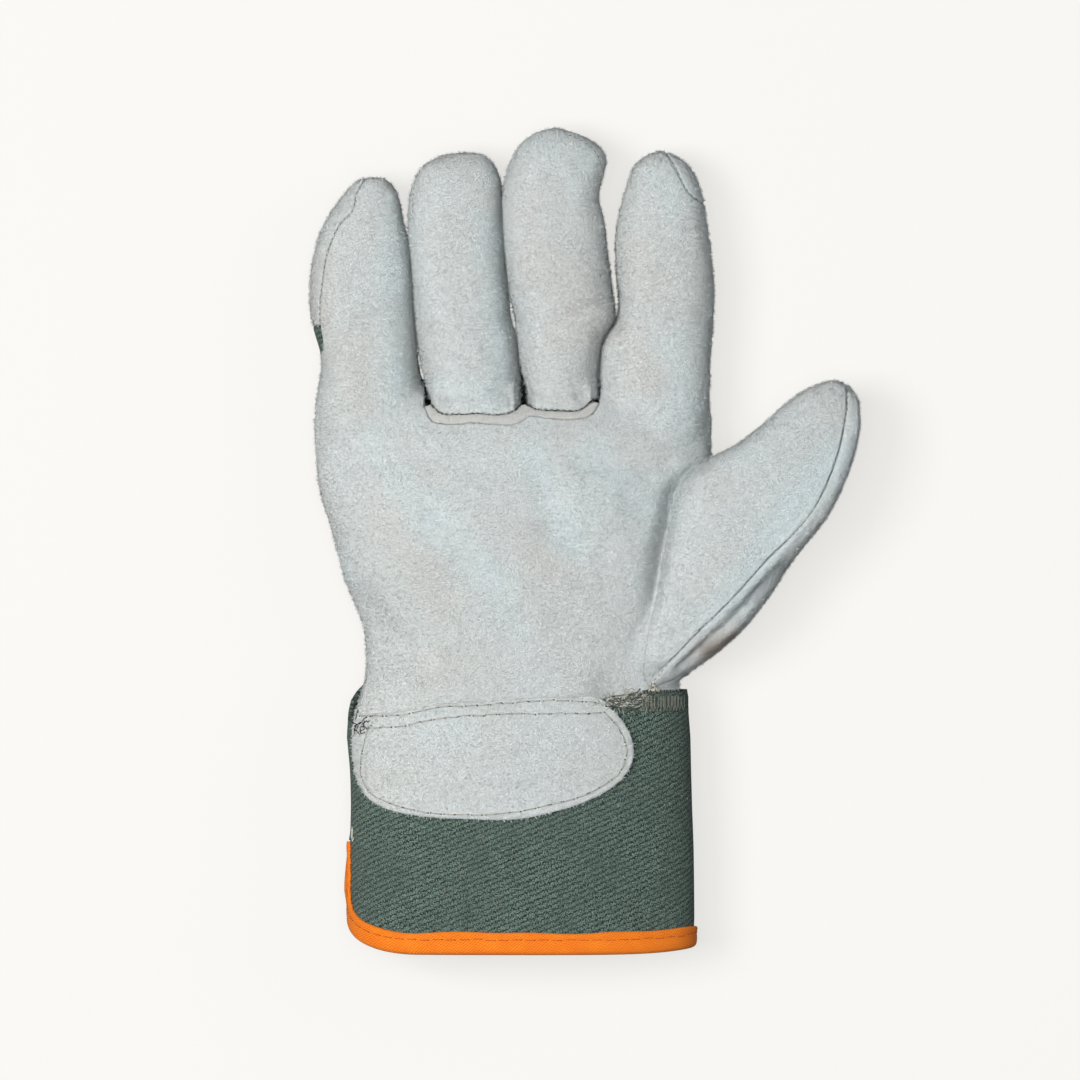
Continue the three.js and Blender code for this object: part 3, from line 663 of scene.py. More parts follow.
class Nodes:
    """Short ways to add and join nodes in one tree."""

    def __init__(self, tree):
        self.tree = tree

    def add(self, kind, inputs=(), **settings):
        node = self.tree.nodes.new(kind)
        for name, value in settings.items():
            setattr(node, name, value)
        for name, value in dict(inputs).items():
            self.feed(node.inputs[name], value)
        return node

    def feed(self, socket, value):
        if isinstance(value, bpy.types.NodeSocket):
            self.tree.links.new(value, socket)
        else:
            socket.default_value = value

    def math(self, operation, a, b=0.0):
        return self.add("ShaderNodeMath", {0: a, 1: b}, operation=operation).outputs[0]

    def times(self, a, b):
        return self.math("MULTIPLY", a, b)

    def plus(self, a, b):
        return self.math("ADD", a, b)

    def minus(self, a, b):
        return self.math("SUBTRACT", a, b)

    def noise(self, where, scale, detail=2.0, roughness=0.5, distortion=0.0):
        return self.add("ShaderNodeTexNoise", {
            "Vector": where, "Scale": scale, "Detail": detail, "Roughness": roughness,
            "Distortion": distortion}).outputs["Fac"]

    def ramp(self, value, low, high, to_low=0.0, to_high=1.0):
        node = self.add("ShaderNodeMapRange", {
            "Value": value, "From Min": low, "From Max": high, "To Min": to_low, "To Max": to_high})
        return node.outputs[0]

    def mix(self, share, a, b, how="MIX"):
        node = self.add("ShaderNodeMix", data_type="RGBA", blend_type=how)
        colours = [socket for socket in node.inputs if socket.type == "RGBA"]
        self.feed(node.inputs[0], share)
        for socket, colour in zip(colours, (a, b)):
            self.feed(socket, (*colour, 1) if isinstance(colour, tuple) else colour)
        return next(socket for socket in node.outputs if socket.type == "RGBA")


def new_group(name, inputs, outputs):
    """A shader node group with named sockets; it gives its nodes, its inputs and its output sockets."""
    tree = bpy.data.node_groups.new(name, "ShaderNodeTree")
    tree.interface.new_socket(name="Vector", in_out="INPUT", socket_type="NodeSocketVector")
    for label, value in inputs.items():
        socket = tree.interface.new_socket(name=label, in_out="INPUT", socket_type="NodeSocketFloat")
        socket.default_value = value
    for label in outputs:
        tree.interface.new_socket(name=label, in_out="OUTPUT", socket_type="NodeSocketFloat")
    nodes = Nodes(tree)
    return nodes, nodes.add("NodeGroupInput").outputs, nodes.add("NodeGroupOutput").inputs


def nap_group():
    """Split leather's nap: curly tufts in soft clumps, and where painted shade darkens the hollows between
    the tufts.
    """
    nodes, given, result = new_group("leather_nap", {"Tuft": TUFT, "Clump": CLUMP}, ["Tone", "Height"])
    tuft = nodes.noise(given["Vector"], nodes.math("DIVIDE", 1.0, given["Tuft"]), 3.0, 0.75, 2.2)
    clump = nodes.noise(given["Vector"], nodes.math("DIVIDE", 1.0, given["Clump"]), 2.0, 0.6, 1.2)
    nodes.feed(result["Tone"], nodes.ramp(tuft, 0.43, 0.55))
    height = nodes.plus(nodes.times(tuft, TUFT_SHARE), nodes.times(clump, 1 - TUFT_SHARE))
    nodes.feed(result["Height"], height)
    return nodes.tree


def twill_group():
    """Twill: slanting wales of short rounded knots, and the gaps between them, where painted shade goes."""
    nodes, given, result = new_group("twill_weave", {"Slant": 0.4, "Wale": WALE, "Knot": KNOT},
                                     ["Height", "Thread", "Gap_Shade"])
    wander = nodes.noise(given["Vector"], 600.0, 3.0)
    sway = nodes.times(nodes.minus(wander, 0.5), nodes.times(given["Wale"], 1.1))
    turned = nodes.add("ShaderNodeVectorRotate", {
        "Vector": given["Vector"], "Angle": nodes.times(given["Slant"], -1.0)}, rotation_type="Z_AXIS")
    split = nodes.add("ShaderNodeSeparateXYZ", {0: turned.outputs[0]}).outputs
    across = nodes.math("DIVIDE", nodes.plus(split[1], sway), given["Wale"])
    wale = nodes.math("FLOOR", across)
    along = nodes.math("DIVIDE", nodes.plus(split[0], sway), given["Knot"])
    along = nodes.plus(along, nodes.times(wale, 0.43))
    ridge, knot = (
        nodes.math("SINE", nodes.times(nodes.math("FRACT", place), math.pi)) for place in (across, along))
    height = nodes.times(nodes.math("POWER", ridge, 0.7), nodes.plus(0.35, nodes.times(knot, 0.65)))
    cell = nodes.add("ShaderNodeCombineXYZ", {0: nodes.math("FLOOR", along), 1: wale}).outputs[0]
    thread = nodes.add("ShaderNodeTexWhiteNoise", {"Vector": cell}, noise_dimensions="2D").outputs["Value"]
    gap = nodes.times(nodes.minus(1.0, ridge), nodes.minus(1.0, nodes.times(knot, 0.85)))
    for label, value in (("Height", height), ("Thread", thread), ("Gap_Shade", gap)):
        nodes.feed(result[label], value)
    return nodes.tree


def new_material(name, roughness, sheen=0.0, sheen_tint=(1, 1, 1)):
    made = bpy.data.materials.new(name)
    made.use_nodes = True
    nodes = Nodes(made.node_tree)
    shader = made.node_tree.nodes["Principled BSDF"]
    shader.inputs["Roughness"].default_value = roughness
    shader.inputs["Specular IOR Level"].default_value = 0.2
    shader.inputs["Sheen Weight"].default_value = sheen
    shader.inputs["Sheen Roughness"].default_value = 0.6
    shader.inputs["Sheen Tint"].default_value = (*sheen_tint, 1)
    return made, nodes, shader


def grouped(nodes, tree, inputs):
    node = nodes.add("ShaderNodeGroup", node_tree=tree)
    for name, value in inputs.items():
        nodes.feed(node.inputs[name], value)
    return node


def bumped(nodes, shader, height, strength, distance):
    bump = nodes.add("ShaderNodeBump", {"Height": height, "Strength": strength, "Distance": distance})
    nodes.feed(shader.inputs["Normal"], bump.outputs["Normal"])


def leather_material(name, cool, warm, shade):
    """Grey split leather: cool and warm areas, with painted shade between its tufts."""
    made, nodes, shader = new_material(name, 0.95, 0.25)
    where = nodes.add("ShaderNodeTexCoord").outputs["Object"]
    nap = grouped(nodes, nap_tree, {"Vector": where, "Tuft": TUFT, "Clump": CLUMP})
    tone = nodes.add("ShaderNodeAttribute", attribute_name="warmth").outputs["Fac"]
    warmth = nodes.plus(tone, nodes.ramp(nodes.noise(where, 45.0, 3.0), 0.35, 0.65, -0.3, 0.3))
    base = nodes.mix(nodes.ramp(warmth, -0.9, 0.9), cool, warm)
    base = nodes.mix(nodes.ramp(warmth, 1.0, 2.4), base, STAIN)
    # painted shade: the colour is darkened in the nap's hollows between the tufts
    shaded_base = nodes.mix(1.0, base, shade, "MULTIPLY")
    nodes.feed(shader.inputs["Base Color"], nodes.mix(nap.outputs["Tone"], shaded_base, base))
    bumped(nodes, shader, nap.outputs["Height"], 1.0, 0.002)
    return made


def twill_material(name, uv_name=None):
    """Green-grey twill with pale fibres and painted shade in the gaps between its threads."""
    made, nodes, shader = new_material(name, 0.95, 0.04, (0.8, 0.9, 0.85))
    if uv_name:
        where = nodes.add("ShaderNodeUVMap", uv_map=uv_name).outputs["UV"]
    else:
        where = nodes.add("ShaderNodeTexCoord").outputs["Object"]
    weave = grouped(nodes, twill_tree, {"Vector": where, "Slant": 0.4, "Wale": WALE, "Knot": KNOT}).outputs
    grain = nodes.noise(where, 2300.0, 2.0, 0.7)
    cloud = nodes.noise(where, 60.0)
    body = nodes.mix(weave["Thread"], TWILL_DARK, TWILL_LIGHT)
    body = nodes.mix(nodes.ramp(grain, 0.52, 0.64, 0.0, 0.8), body, TWILL_PALE_FIBRE)
    body = nodes.mix(nodes.ramp(grain, 0.48, 0.38, 0.0, 0.9), body, TWILL_DARK_FIBRE)
    # painted shade in the gaps between the threads, together with darker specks of the grain
    gap_shade_and_grain = nodes.plus(weave["Gap_Shade"], nodes.times(nodes.minus(0.5, grain), 1.2))
    body = nodes.mix(nodes.ramp(gap_shade_and_grain, 0.1, 0.34), body, TWILL_GAP_SHADE)
    body = nodes.mix(nodes.ramp(cloud, 0.35, 0.65, 0.3, 0.0), body, TWILL_CLOUD)
    nodes.feed(shader.inputs["Base Color"], body)
    bumped(nodes, shader, nodes.plus(weave["Height"], grain), 0.8, 0.0004)
    return made


def tape_material(name):
    """Orange binding tape: fine slanting weave, with deeper orange painted shade in its hollows."""
    made, nodes, shader = new_material(name, 0.9, 0.1, (1, 0.6, 0.2))
    where = nodes.add("ShaderNodeUVMap", uv_map="weave").outputs["UV"]
    weave = grouped(nodes, twill_tree, {
        "Vector": where, "Slant": 0.75, "Wale": TAPE_WALE, "Knot": TAPE_KNOT}).outputs
    body = nodes.mix(nodes.ramp(nodes.noise(where, 160.0, 3.0), 0.3, 0.7), TAPE_DEEP, TAPE_LIGHT)
    # painted shade: deeper orange in the hollows of the weave
    body = nodes.mix(nodes.ramp(weave["Gap_Shade"], 0.1, 0.5, 0.0, 0.9), body, TAPE_GAP_SHADE)
    nodes.feed(shader.inputs["Base Color"], body)
    bumped(nodes, shader, weave["Height"], 0.6, 0.0002)
    return made


def plain(name, colour):
    """Matt thread, a little uneven along its length."""
    made, nodes, shader = new_material(name, 0.85)
    cloud = nodes.noise(nodes.add("ShaderNodeTexCoord").outputs["Object"], 900.0)
    darker = tuple(channel * 0.6 for channel in colour)
    nodes.feed(shader.inputs["Base Color"], nodes.mix(nodes.ramp(cloud, 0.35, 0.65), darker, colour))
    return made


def floor_material():
    """Pale card; seen straight on it glows a little, so that the shadow on it stays faint."""
    made, nodes, shader = new_material("pale_floor", 0.95)
    seen = nodes.add("ShaderNodeLightPath").outputs["Is Camera Ray"]
    shader.inputs["Base Color"].default_value = (0.1, 0.0994, 0.098, 1)
    shader.inputs["Emission Color"].default_value = (0.93, 0.92, 0.885, 1)
    nodes.feed(shader.inputs["Emission Strength"], nodes.times(seen, FLOOR_GLOW))
    return made


nap_tree = nap_group()
twill_tree = twill_group()
skin_mark = bpy.data.materials.new("skin_mark")
cut_mark = bpy.data.materials.new("cut_mark")
leather = leather_material("split_leather", *LEATHER_COLOURS)
twill = twill_material("twill")
cuff_twill = twill_material("cuff_twill", "weave")
orange = tape_material("binding_tape")
welt_leather = leather_material("welt_leather", *WELT_COLOURS)
thread = plain("grey_thread", (0.27, 0.275, 0.24))
pale_thread = plain("pale_thread", (0.36, 0.36, 0.31))
seam_thread = plain("seam_thread", (0.13, 0.13, 0.12))
# a near-black thread laid as painted shadow under the overlock
painted_shadow_thread = plain("painted_shadow_thread", (0.04, 0.045, 0.038))
lock_thread = plain("lock_thread", (0.14, 0.15, 0.125))
# near-black: real loose thread ends, and painted shade in needle holes
dark_thread_and_hole_shade = plain("dark_thread_and_hole_shade", (0.03, 0.03, 0.025))
tape_thread = plain("tape_thread", (0.36, 0.05, 0.003))
# darker orange painted shade in the binding's needle holes
tape_hole_shade = plain("tape_hole_shade", (0.12, 0.025, 0.008))


# The forms

def finger(name, rows):
    return loft(name, rows, TIPS[name], top_round=FINGER_ROUND)


def hand_limbs():
    return [loft("hand", HAND, TIPS["hand"], sides=96), finger("little", LITTLE), finger("index", INDEX)]


def thumb_rounding(y, angle):
    """Squarer on the outer side from the kink to the tip, where the band beside the seam lies nearly flat."""
    return THUMB_ROUND + 5 * smooth_step(0.2, 0.85, np.cos(angle)) * smooth_step(36, 58, y)


def thumb_limb():
    form = loft("thumb", THUMB, TIPS["thumb"], sides=80, top_round=thumb_rounding)
    places = coordinates(form)
    turn = math.radians(THUMB_TURN)
    x = places[:, 0] * math.cos(turn) - places[:, 1] * math.sin(turn) + THUMB_BASE[0]
    y = places[:, 0] * math.sin(turn) + places[:, 1] * math.cos(turn) + THUMB_BASE[1]
    set_coordinates(form, np.column_stack([x, y, places[:, 2]]))
    return form


def cuff_row(y):
    table = np.array(CUFF, float)
    y = np.clip(y, table[0, 0], table[-1, 0])
    return np.column_stack([np.interp(y, table[:, 0], table[:, k]) for k in range(5)])


def cuff_height(x, y):
    """Height of the cuff's outer surface above a place."""
    row = cuff_row(y)
    middle = row[:, 3] + (row[:, 4] - row[:, 3]) * WIDEST
    across = np.clip(np.abs(x - (row[:, 1] + row[:, 2]) / 2) / ((row[:, 2] - row[:, 1]) / 2), 0, 1)
    return middle + (row[:, 4] - middle) * (1 - across**PALM_ROUND) ** (1 / PALM_ROUND)


def lay_over_cuff(form):
    """Lifts the palm's lower edge onto the cuff, up to where the cuff's own edge laps over it."""
    places = coordinates(form)
    facing = normals(form)
    x, y, z = places.T
    share = smooth_step(97, 80.5, y) * smooth_step(36, 20, x) * np.clip(facing[:, 2] * 3, 0, 1)
    target = cuff_height(x, y) + PALM_OVER
    places[:, 2] = z + (target - z) * share * (z > 20)
    set_coordinates(form, places)


def fold_crease(form):
    """The deep fold between palm and thumb: soft on the palm's side, steep on the thumb's."""
    places = coordinates(form)
    facing = normals(form)
    near = np.flatnonzero((np.abs(places[:, 0] - 50) < 24) & (places[:, 2] > 16))
    spots = places[near, :2]
    away = np.linalg.norm(spots[:, None] - crease[None], axis=2)
    index = away.argmin(axis=1)
    run = np.gradient(crease, axis=0)[index]
    offset = spots - crease[index]
    on_thumb = run[:, 0] * offset[:, 1] - run[:, 1] * offset[:, 0] > 0
    table = np.array(CREASE_FOLD, float)
    depth, palm_reach, thumb_reach = (
        np.interp(crease[index, 1], table[:, 0], table[:, k]) for k in (1, 2, 3))
    reach = np.where(on_thumb, thumb_reach, palm_reach)
    push = depth * np.exp(-((away.min(axis=1) / reach) ** 2)) * np.clip(facing[near, 2] * 2, 0, 1)
    places[near, 2] -= push
    set_coordinates(form, places)


def tuck_under_cuff(form):
    """Keeps the leather below the cuff's edge where the cuff laps over it, at the thumb's side."""
    places = coordinates(form)
    x, y, z = places.T
    ceiling = cuff_height(x, y) - CUFF_WALL - 0.5
    share = smooth_step(92, 83.5, y) * smooth_step(22, 34, x)
    places[:, 2] = np.where(z > 20, z - np.maximum(0, z - ceiling) * share, z)
    set_coordinates(form, places)


def meet(form, line, heights, reach):
    """Brings the form's upper side to given heights along a line, fading out away from it."""
    places = coordinates(form)
    facing = normals(form)
    near = np.flatnonzero((places[:, 2] > 18) & (facing[:, 2] > 0.15))
    away = np.linalg.norm(places[near, None, :2] - line[None], axis=2)
    index = away.argmin(axis=1)
    share = smooth_step(reach, reach * 0.08, away.min(axis=1)) * np.clip(facing[near, 2] * 2.2, 0, 1)
    places[near, 2] += (heights[index] - places[near, 2]) * share
    set_coordinates(form, places)


def heights_along(form, line):
    """Height of the form's upper side along a line, evened out."""
    tree = BVHTree.FromPolygons(coordinates(form).tolist(), [tuple(f.vertices) for f in form.data.polygons])
    found = np.array([tree.ray_cast(Vector((x, y, 90)), Vector((0, 0, -1)))[0].z for x, y in line])
    for _ in range(6):
        found[1:-1] = (found[:-2] + found[1:-1] + found[2:]) / 3
    return found


THUMB_OUT = [(40, -FAR), (FAR, -FAR), (FAR, 180)]
crease = smooth_line(THUMB_CREASE)
thumb_seam = smooth_line(THUMB_SEAM)
little_seam = smooth_line(LITTLE_SEAM)
index_seam = smooth_line(INDEX_SEAM)
welt_low = smooth_line(WELT_LOW)
welt_high = smooth_line(WELT_HIGH)
palm_hem = smooth_line([*PATCH_EDGE[PATCH_EDGE.index((27.6, 78.8)):], PATCH_EDGE[0]])


def thumb_region(gap):
    return block([*beside(crease, gap), *WRIST_LINE[1:], (FAR, FAR), (64, FAR)])


def thumb_outside(gap):
    return block([*beside(thumb_seam, -gap), *THUMB_OUT])


def little_outside(gap):
    return block([*beside(little_seam, -gap), (-FAR, 186 + gap), (-FAR, 242)])


def index_outside(gap):
    return block([*beside(index_seam, gap), (FAR, 232 + gap), (FAR, 250)])


def ready(form):
    """A form with the two marks for cutting, worn in."""
    add_marks(form)
    sculpt(form)
    return form


def build_palm(palm_side, gap):
    window = [*beside(welt_low, -0.05), (welt_low[-1][0], FAR), (welt_low[0][0], FAR)]
    lower = block([(-FAR, -FAR), (FAR, -FAR), (FAR, 78), (31, 78.6), *palm_hem, (-FAR, 73.6)])
    sew("palm_suede", palm_side, "palm_leather", [slab(HAND_SEAM_Z + gap, FAR)],
        [block(window), little_outside(-gap), index_outside(-gap), thumb_region(-CREASE_GAP), lower],
        calm=[crease, palm_hem])
    band = [*beside(welt_low, 0.05), *beside(welt_high, -0.05)[::-1]]
    sew("base_welt", palm_side, "finger_base_welt", [slab(HAND_SEAM_Z + 1, FAR), block(band)], (), 0.4, 1.0,
        wall=WELT, material=welt_leather)


def build_fronts(ring, middle, gap):
    inside = beside(welt_high, gap)
    fronts = [*inside, (inside[-1][0], WINDOW_SHOULDER), (45, WINDOW_SHOULDER), (45, FAR), (-45, FAR),
              (-45, WINDOW_SHOULDER), (inside[0][0], WINDOW_SHOULDER)]
    for form, node in ((ring, "ring_finger_front"), (middle, "middle_finger_front")):
        sew(node + "_suede", form, node, [slab(HAND_SEAM_Z + gap, FAR), block(fronts)], (), 0.35, 1.2)


def build_thumb(palm_side, thumb, hand, gap):
    upper = slab(THUMB_SEAM_Z + gap, FAR)
    sew("thumb_front_suede", palm_side, "thumb_front", [upper, thumb_region(CREASE_GAP)],
        [thumb_outside(gap)], lip=2.0, calm=[crease])
    wrist = block([(0, -FAR), (0, 70), *WRIST_LINE, (FAR, -FAR)])
    sew("thumb_back_suede", thumb, "thumb_back", [merged(slab(-5, THUMB_SEAM_Z - gap), thumb_outside(-gap))],
        [wrist, marked(hand)])


def above(finger, left, right, right_end=None):
    """Outline, seen from above, of a finger's leather tip between two sides."""
    low = TIP_Y[finger]
    return [(left, low), (right, low), (right if right_end is None else right_end, FAR), (left, FAR)]


def slot_between(low, high, half):
    """Block over a narrow slot between two fingers, seen from above."""
    return block([(low[0] - half, low[1]), (low[0] + half, low[1]), (high[0] + half, high[1]),
                  (high[0] - half, high[1])])


def build_back(hand, ring, middle, gap):
    whole = joined("back_form", [copy_of(hand, "a"), copy_of(ring, "b"), copy_of(middle, "c")])
    apply(whole, "REMESH", mode="VOXEL", voxel_size=BACK_FINE)
    apply(whole, "SMOOTH", factor=0.5, iterations=8)
    whole.data.materials.clear()
    add_marks(whole)
    lower_half = (-5, HAND_SEAM_Z - gap)
    cloth_cut = [
        *(block(above(*tip)) for tip in (
            ("little", -FAR, -29), ("ring", -34, -1.0), ("middle", -1.0, 31.4), ("index", 26.4, FAR))),
        slot_between((-27.6, 178), (-31.2, 202), 0.6), slot_between((1.1, 190), (-0.8, 206), 0.6),
        slot_between((31.6, 196), (31.6, 208), 0.5),
        block([(-FAR, -FAR), (FAR, -FAR), (FAR, UNDER_CUFF), (-FAR, UNDER_CUFF)])]
    sew("back_twill", whole, "back_cloth", [merged(slab(*lower_half), little_outside(gap))], cloth_cut, 1.0,
        wall=TWILL, material=twill)
    drop(whole)
    for node, form, area, outside in (
            ("little_fingertip_back", hand, above("little", -FAR, -29), little_outside),
            ("ring_fingertip_back", ring, above("ring", -34, -1.2, -3.2), None),
            ("middle_fingertip_back", middle, above("middle", -3.2, 31.4), None),
            ("index_finger_back", hand, above("index", 26.4, FAR), index_outside)):
        shape = merged(slab(*lower_half), outside(gap)) if outside else slab(*lower_half)
        sew(node + "_suede", form, node, [shape, block(area)])


def build_hand():
    palm_side = ready(skinned("palm_form", [*hand_limbs(), thumb_limb()], 12))
    hand = ready(skinned("hand_form", hand_limbs(), 12))
    thumb = ready(skinned("thumb_form", [thumb_limb()], 8))
    ring = ready(skinned("ring_form", [finger("ring", RING)], 6))
    middle = ready(skinned("middle_form", [finger("middle", MIDDLE)], 6))
    fold_crease(palm_side)
    lay_over_cuff(palm_side)
    tuck_under_cuff(palm_side)
    base = heights_along(palm_side, welt_high - (0, 1.5)) + 0.35
    meet(ring, welt_high, base, 9)
    meet(middle, welt_high, base, 9)
    build_palm(palm_side, SEAM_GAP)
    build_fronts(ring, middle, 0.05)
    build_thumb(palm_side, thumb, hand, SEAM_GAP)
    build_back(hand, ring, middle, SEAM_GAP)
    drop(palm_side, hand, thumb, ring, middle)


build_hand()


# The cuff

AROUND_STEPS = 720
turn_angles = math.pi + VENT_TURN + 2 * math.pi * np.arange(AROUND_STEPS + 1) / AROUND_STEPS
hem_ring = on_section(np.repeat([CUFF[1]], AROUND_STEPS + 1, axis=0), turn_angles, -CUFF_WALL / 2)
around_table = lengths_along(hem_ring)
GIRTH = around_table[-1]


def on_cuff(around, y, out):
    """Points of the cuff: distance round it from the vent, height, and distance out from mid-wall."""
    around = np.mod(around, GIRTH)
    angle = np.interp(around, around_table, turn_angles)
    before = np.where(around > GIRTH / 2, GIRTH - around, -around)
    tucked = np.where(before > 0, 0.5, -2.3) * np.exp(-((before / 11) ** 2)) * smooth_step(46, 20, y)
    wave = 0.3 * np.sin(around / 17 + y / 40) + 0.2 * np.sin(around / 8.3 + 1 - y / 25)
    places = on_section(cuff_row(np.maximum(y, 0)), angle, out - CUFF_WALL / 2 + wave - tucked)
    places[:, 1] = y
    return places


def cuff_hem(around):
    from_vent = np.minimum(around, GIRTH - around) - VENT_HALF
    in_corner = 1 - np.clip(from_vent / CORNER_AROUND, 0, 1)
    across = np.maximum(0, on_cuff(around, np.zeros_like(around), 0)[:, 0] / CUFF[0][2])
    hem = HEM + HEM_RISE * across**6 + CORNER_UP * (1 - np.sqrt(1 - in_corner**2))
    return np.where(from_vent < -0.02, VENT_TOP, hem)


def cuff_top(around):
    spots = on_cuff(around, np.full_like(around, 75.0), 0)
    row = cuff_row(np.array([75.0]))[0]
    behind = spots[:, 2] < row[3] + (row[4] - row[3]) * WIDEST
    table = np.array(CUFF_TOP, float)
    palm = np.interp(spots[:, 0], table[:, 0], table[:, 1])
    back = np.interp(spots[:, 0], table[:, 0], table[:, 2])
    return np.where(behind, back, palm)


def build_cuff():
    columns, levels = 260, 70
    wide = np.linspace(VENT_HALF, GIRTH - VENT_HALF, columns - 6)
    vent = np.array([0, VENT_HALF * 0.5, VENT_HALF - 0.05])
    arounds = np.concatenate([vent, wide, GIRTH - vent[::-1]])
    hem, top = cuff_hem(arounds), cuff_top(arounds)

    def heights(column, row):
        return hem[column] + (top[column] - hem[column]) * row / (levels - 1)

    cuff = grid_piece("cuff_twill", columns, levels,
                      lambda column, row: on_cuff(arounds[column], heights(column, row), CUFF_WALL / 2))
    column, row = grid_places(columns, levels)
    lay_weave(cuff, np.column_stack([-arounds[column], heights(column, row)]))
    close_up(cuff, 0.02)
    finish_piece(cuff, "safety_cuff", cuff_twill, CUFF_WALL)


def binding_path(step=1.0):
    """The cloth's edge that the tape folds over: up one side of the vent and round the hem to the other."""
    around = np.arange(VENT_HALF, GIRTH - VENT_HALF + step / 2, step)
    around[-1] = GIRTH - VENT_HALF
    hem = np.column_stack([around, cuff_hem(around)])
    rise = np.arange(hem[0, 1] + step, VENT_TOP, step)
    start = np.column_stack([np.full_like(rise, VENT_HALF), rise])[::-1]
    end = np.column_stack([np.full_like(rise, GIRTH - VENT_HALF), rise])
    return np.concatenate([start, hem, end])


def tape_section():
    """Section of the folded tape: how far past the cloth's edge, how far out from mid-wall."""
    half = CUFF_WALL / 2 + 0.1
    reach = half + TAPE
    outer = [(-TAPE_WIDTH, half + 0.3), (-TAPE_WIDTH + 0.15, half + 0.75), (-TAPE_WIDTH + 0.6, reach),
             (-4, reach - 0.05), (-3.2, reach - 0.2), (-2.4, reach - 0.02), (-1.2, reach + 0.05)]
    fold = [(-0.4 + 1.75 * math.cos(a), reach * math.sin(a)) for a in np.linspace(1.3, 0, 6)]
    upper = outer + fold
    lower = [(along, -out) for along, out in upper[-2::-1]]
    inner = [(-TAPE_WIDTH, -half), (-0.3, -half), (0.15, 0), (-0.3, half), (-TAPE_WIDTH, half)]
    ring = upper + lower + inner
    return np.array(ring + ring[:1])


def build_binding():
    path = binding_path()
    run = unit(np.gradient(path, axis=0))
    for _ in range(2):
        run[1:-1] = (run[:-2] + run[1:-1] + run[2:]) / 3
    run = unit(run)
    outward = np.column_stack([run[:, 1], -run[:, 0]])
    section = tape_section()

    def place(column, row):
        inner = smooth_step(-2.2, -TAPE_WIDTH, section[row, 0])
        sway = inner * (0.22 * np.sin(column / 8.7) + 0.16 * np.sin(column / 3.9 + 1))
        pucker = 0.08 * inner * np.sin(column * math.pi / 2) * np.sign(section[row, 1])
        spot = path[column] + outward[column] * (section[row, :1] + sway[:, None])
        return on_cuff(spot[:, 0], spot[:, 1], section[row, 1] + pucker)

    tape = grid_piece("binding_cloth", len(path), len(section), place)
    column, row = grid_places(len(path), len(section))
    lay_weave(tape, np.column_stack([column * 1.0, lengths_along(section)[row]]))
    close_up(tape)
    finish_piece(tape, "cuff_binding", orange)


def build_patch():
    edge = smooth_line([*PATCH_EDGE, PATCH_EDGE[0]])[:-1]
    low, high = edge.min(0) - 0.8, edge.max(0) + 0.8
    across, up = (int(side) for side in (high - low) / 0.6)

    def place(column, row):
        x = np.maximum(low[0] + (high[0] - low[0]) * column / (across - 1), -50.6)
        y = low[1] + (high[1] - low[1]) * row / (up - 1)
        return np.column_stack([x, y, cuff_height(x, y) + PALM_OVER])

    plate = grid_piece("plate", across, up, place)
    apply(plate, "SOLIDIFY", thickness=4, offset=-1)
    add_marks(plate)
    for face in plate.data.polygons:
        face.material_index = SKIN if face.normal.z > 0.05 else CUT
    sew("patch_suede", plate, "cuff_patch", [block(edge)], (), 0.6, 0.8, [palm_hem])
    drop(plate)


build_cuff()
build_binding()
build_patch()


# Threads and nap on the finished pieces

class Ground:
    """The outer side of finished pieces, met from above; places are the maker's millimetres."""

    def __init__(self, *names):
        corners, faces = [], []
        for name in names:
            piece = bpy.data.objects[name]
            start = len(corners)
            corners += (coordinates(piece) / MM + (CENTRE_X, CENTRE_Y, 0)).tolist()
            faces += [[start + index for index in face.vertices] for face in piece.data.polygons]
        self.tree = BVHTree.FromPolygons(corners, faces)

    def over(self, x, y, rise=0.0):
        spot, facing, _, _ = self.tree.ray_cast(Vector((x, y, 90)), Vector((0, 0, -1)))
        return spot + Vector((0, 0, 1)).lerp(facing, 0.6).normalized() * rise if spot else None


def threads(name, paths, thick, material, rounding=1):
    """Threads of one kind as one piece: round tubes along short paths, without those that miss the ground."""
    curve = bpy.data.curves.new(name, "CURVE")
    curve.dimensions = "3D"
    curve.bevel_depth = thick / 2
    curve.bevel_resolution = rounding
    curve.use_fill_caps = True
    for path in paths:
        if not path or not all(path):
            continue
        spline = curve.splines.new("POLY")
        spline.points.add(len(path) - 1)
        spline.points.foreach_set("co", [value for spot in path for value in (*spot, 1)])
    activate(linked(name, curve))
    bpy.ops.object.convert(target="MESH")
    return finish_piece(bpy.context.active_object, None, material)


# Along a stitch: share of its length, share of its rise
STITCH_SHAPE = [(0, -0.4), (0.1, 0.5), (0.35, 1), (0.65, 1), (0.9, 0.5), (1, -0.4)]


def running(ground, points, length, space, thick, sway=0.12):
    """Running stitches along a line seen from above, and the places of their needle holes."""
    line = smooth_line(points, 0.3)
    along = lengths_along(line)
    paths, holes = [], []
    at = 0.2
    while at + length < along[-1]:
        shift = chance.normal(0, sway, 2)
        path = []
        for share, rise in STITCH_SHAPE:
            where = at + share * length
            x = np.interp(where, along, line[:, 0]) + shift[0] * share
            y = np.interp(where, along, line[:, 1]) + shift[1] * share
            path.append(ground.over(x, y, rise * thick * 0.7))
        if all(path):
            paths.append(path)
            holes += [path[0], path[-1]]
        at += (length + space) * chance.uniform(0.9, 1.12)
    return paths, holes


def curl(ground, x, y, length, turn, rise, bend=0.8):
    """A loose end of thread that lies in an arc from one place."""
    path = []
    for step in range(6):
        spot = ground.over(x, y, rise)
        if spot is None:
            return None
        path.append(spot)
        x += math.cos(turn) * length / 5
        y += math.sin(turn) * length / 5
        turn += bend * chance.normal(0, 0.5)
    return path


# dark stubs at needle holes, as painted shade in the holes
def stubs(holes, deep=0.5, high=0.03):
    return [[spot - Vector((0, 0, deep)), spot + Vector((0, 0, 0.25 + high))] for spot in holes]


def any_turn():
    return chance.uniform(0, 6.3)


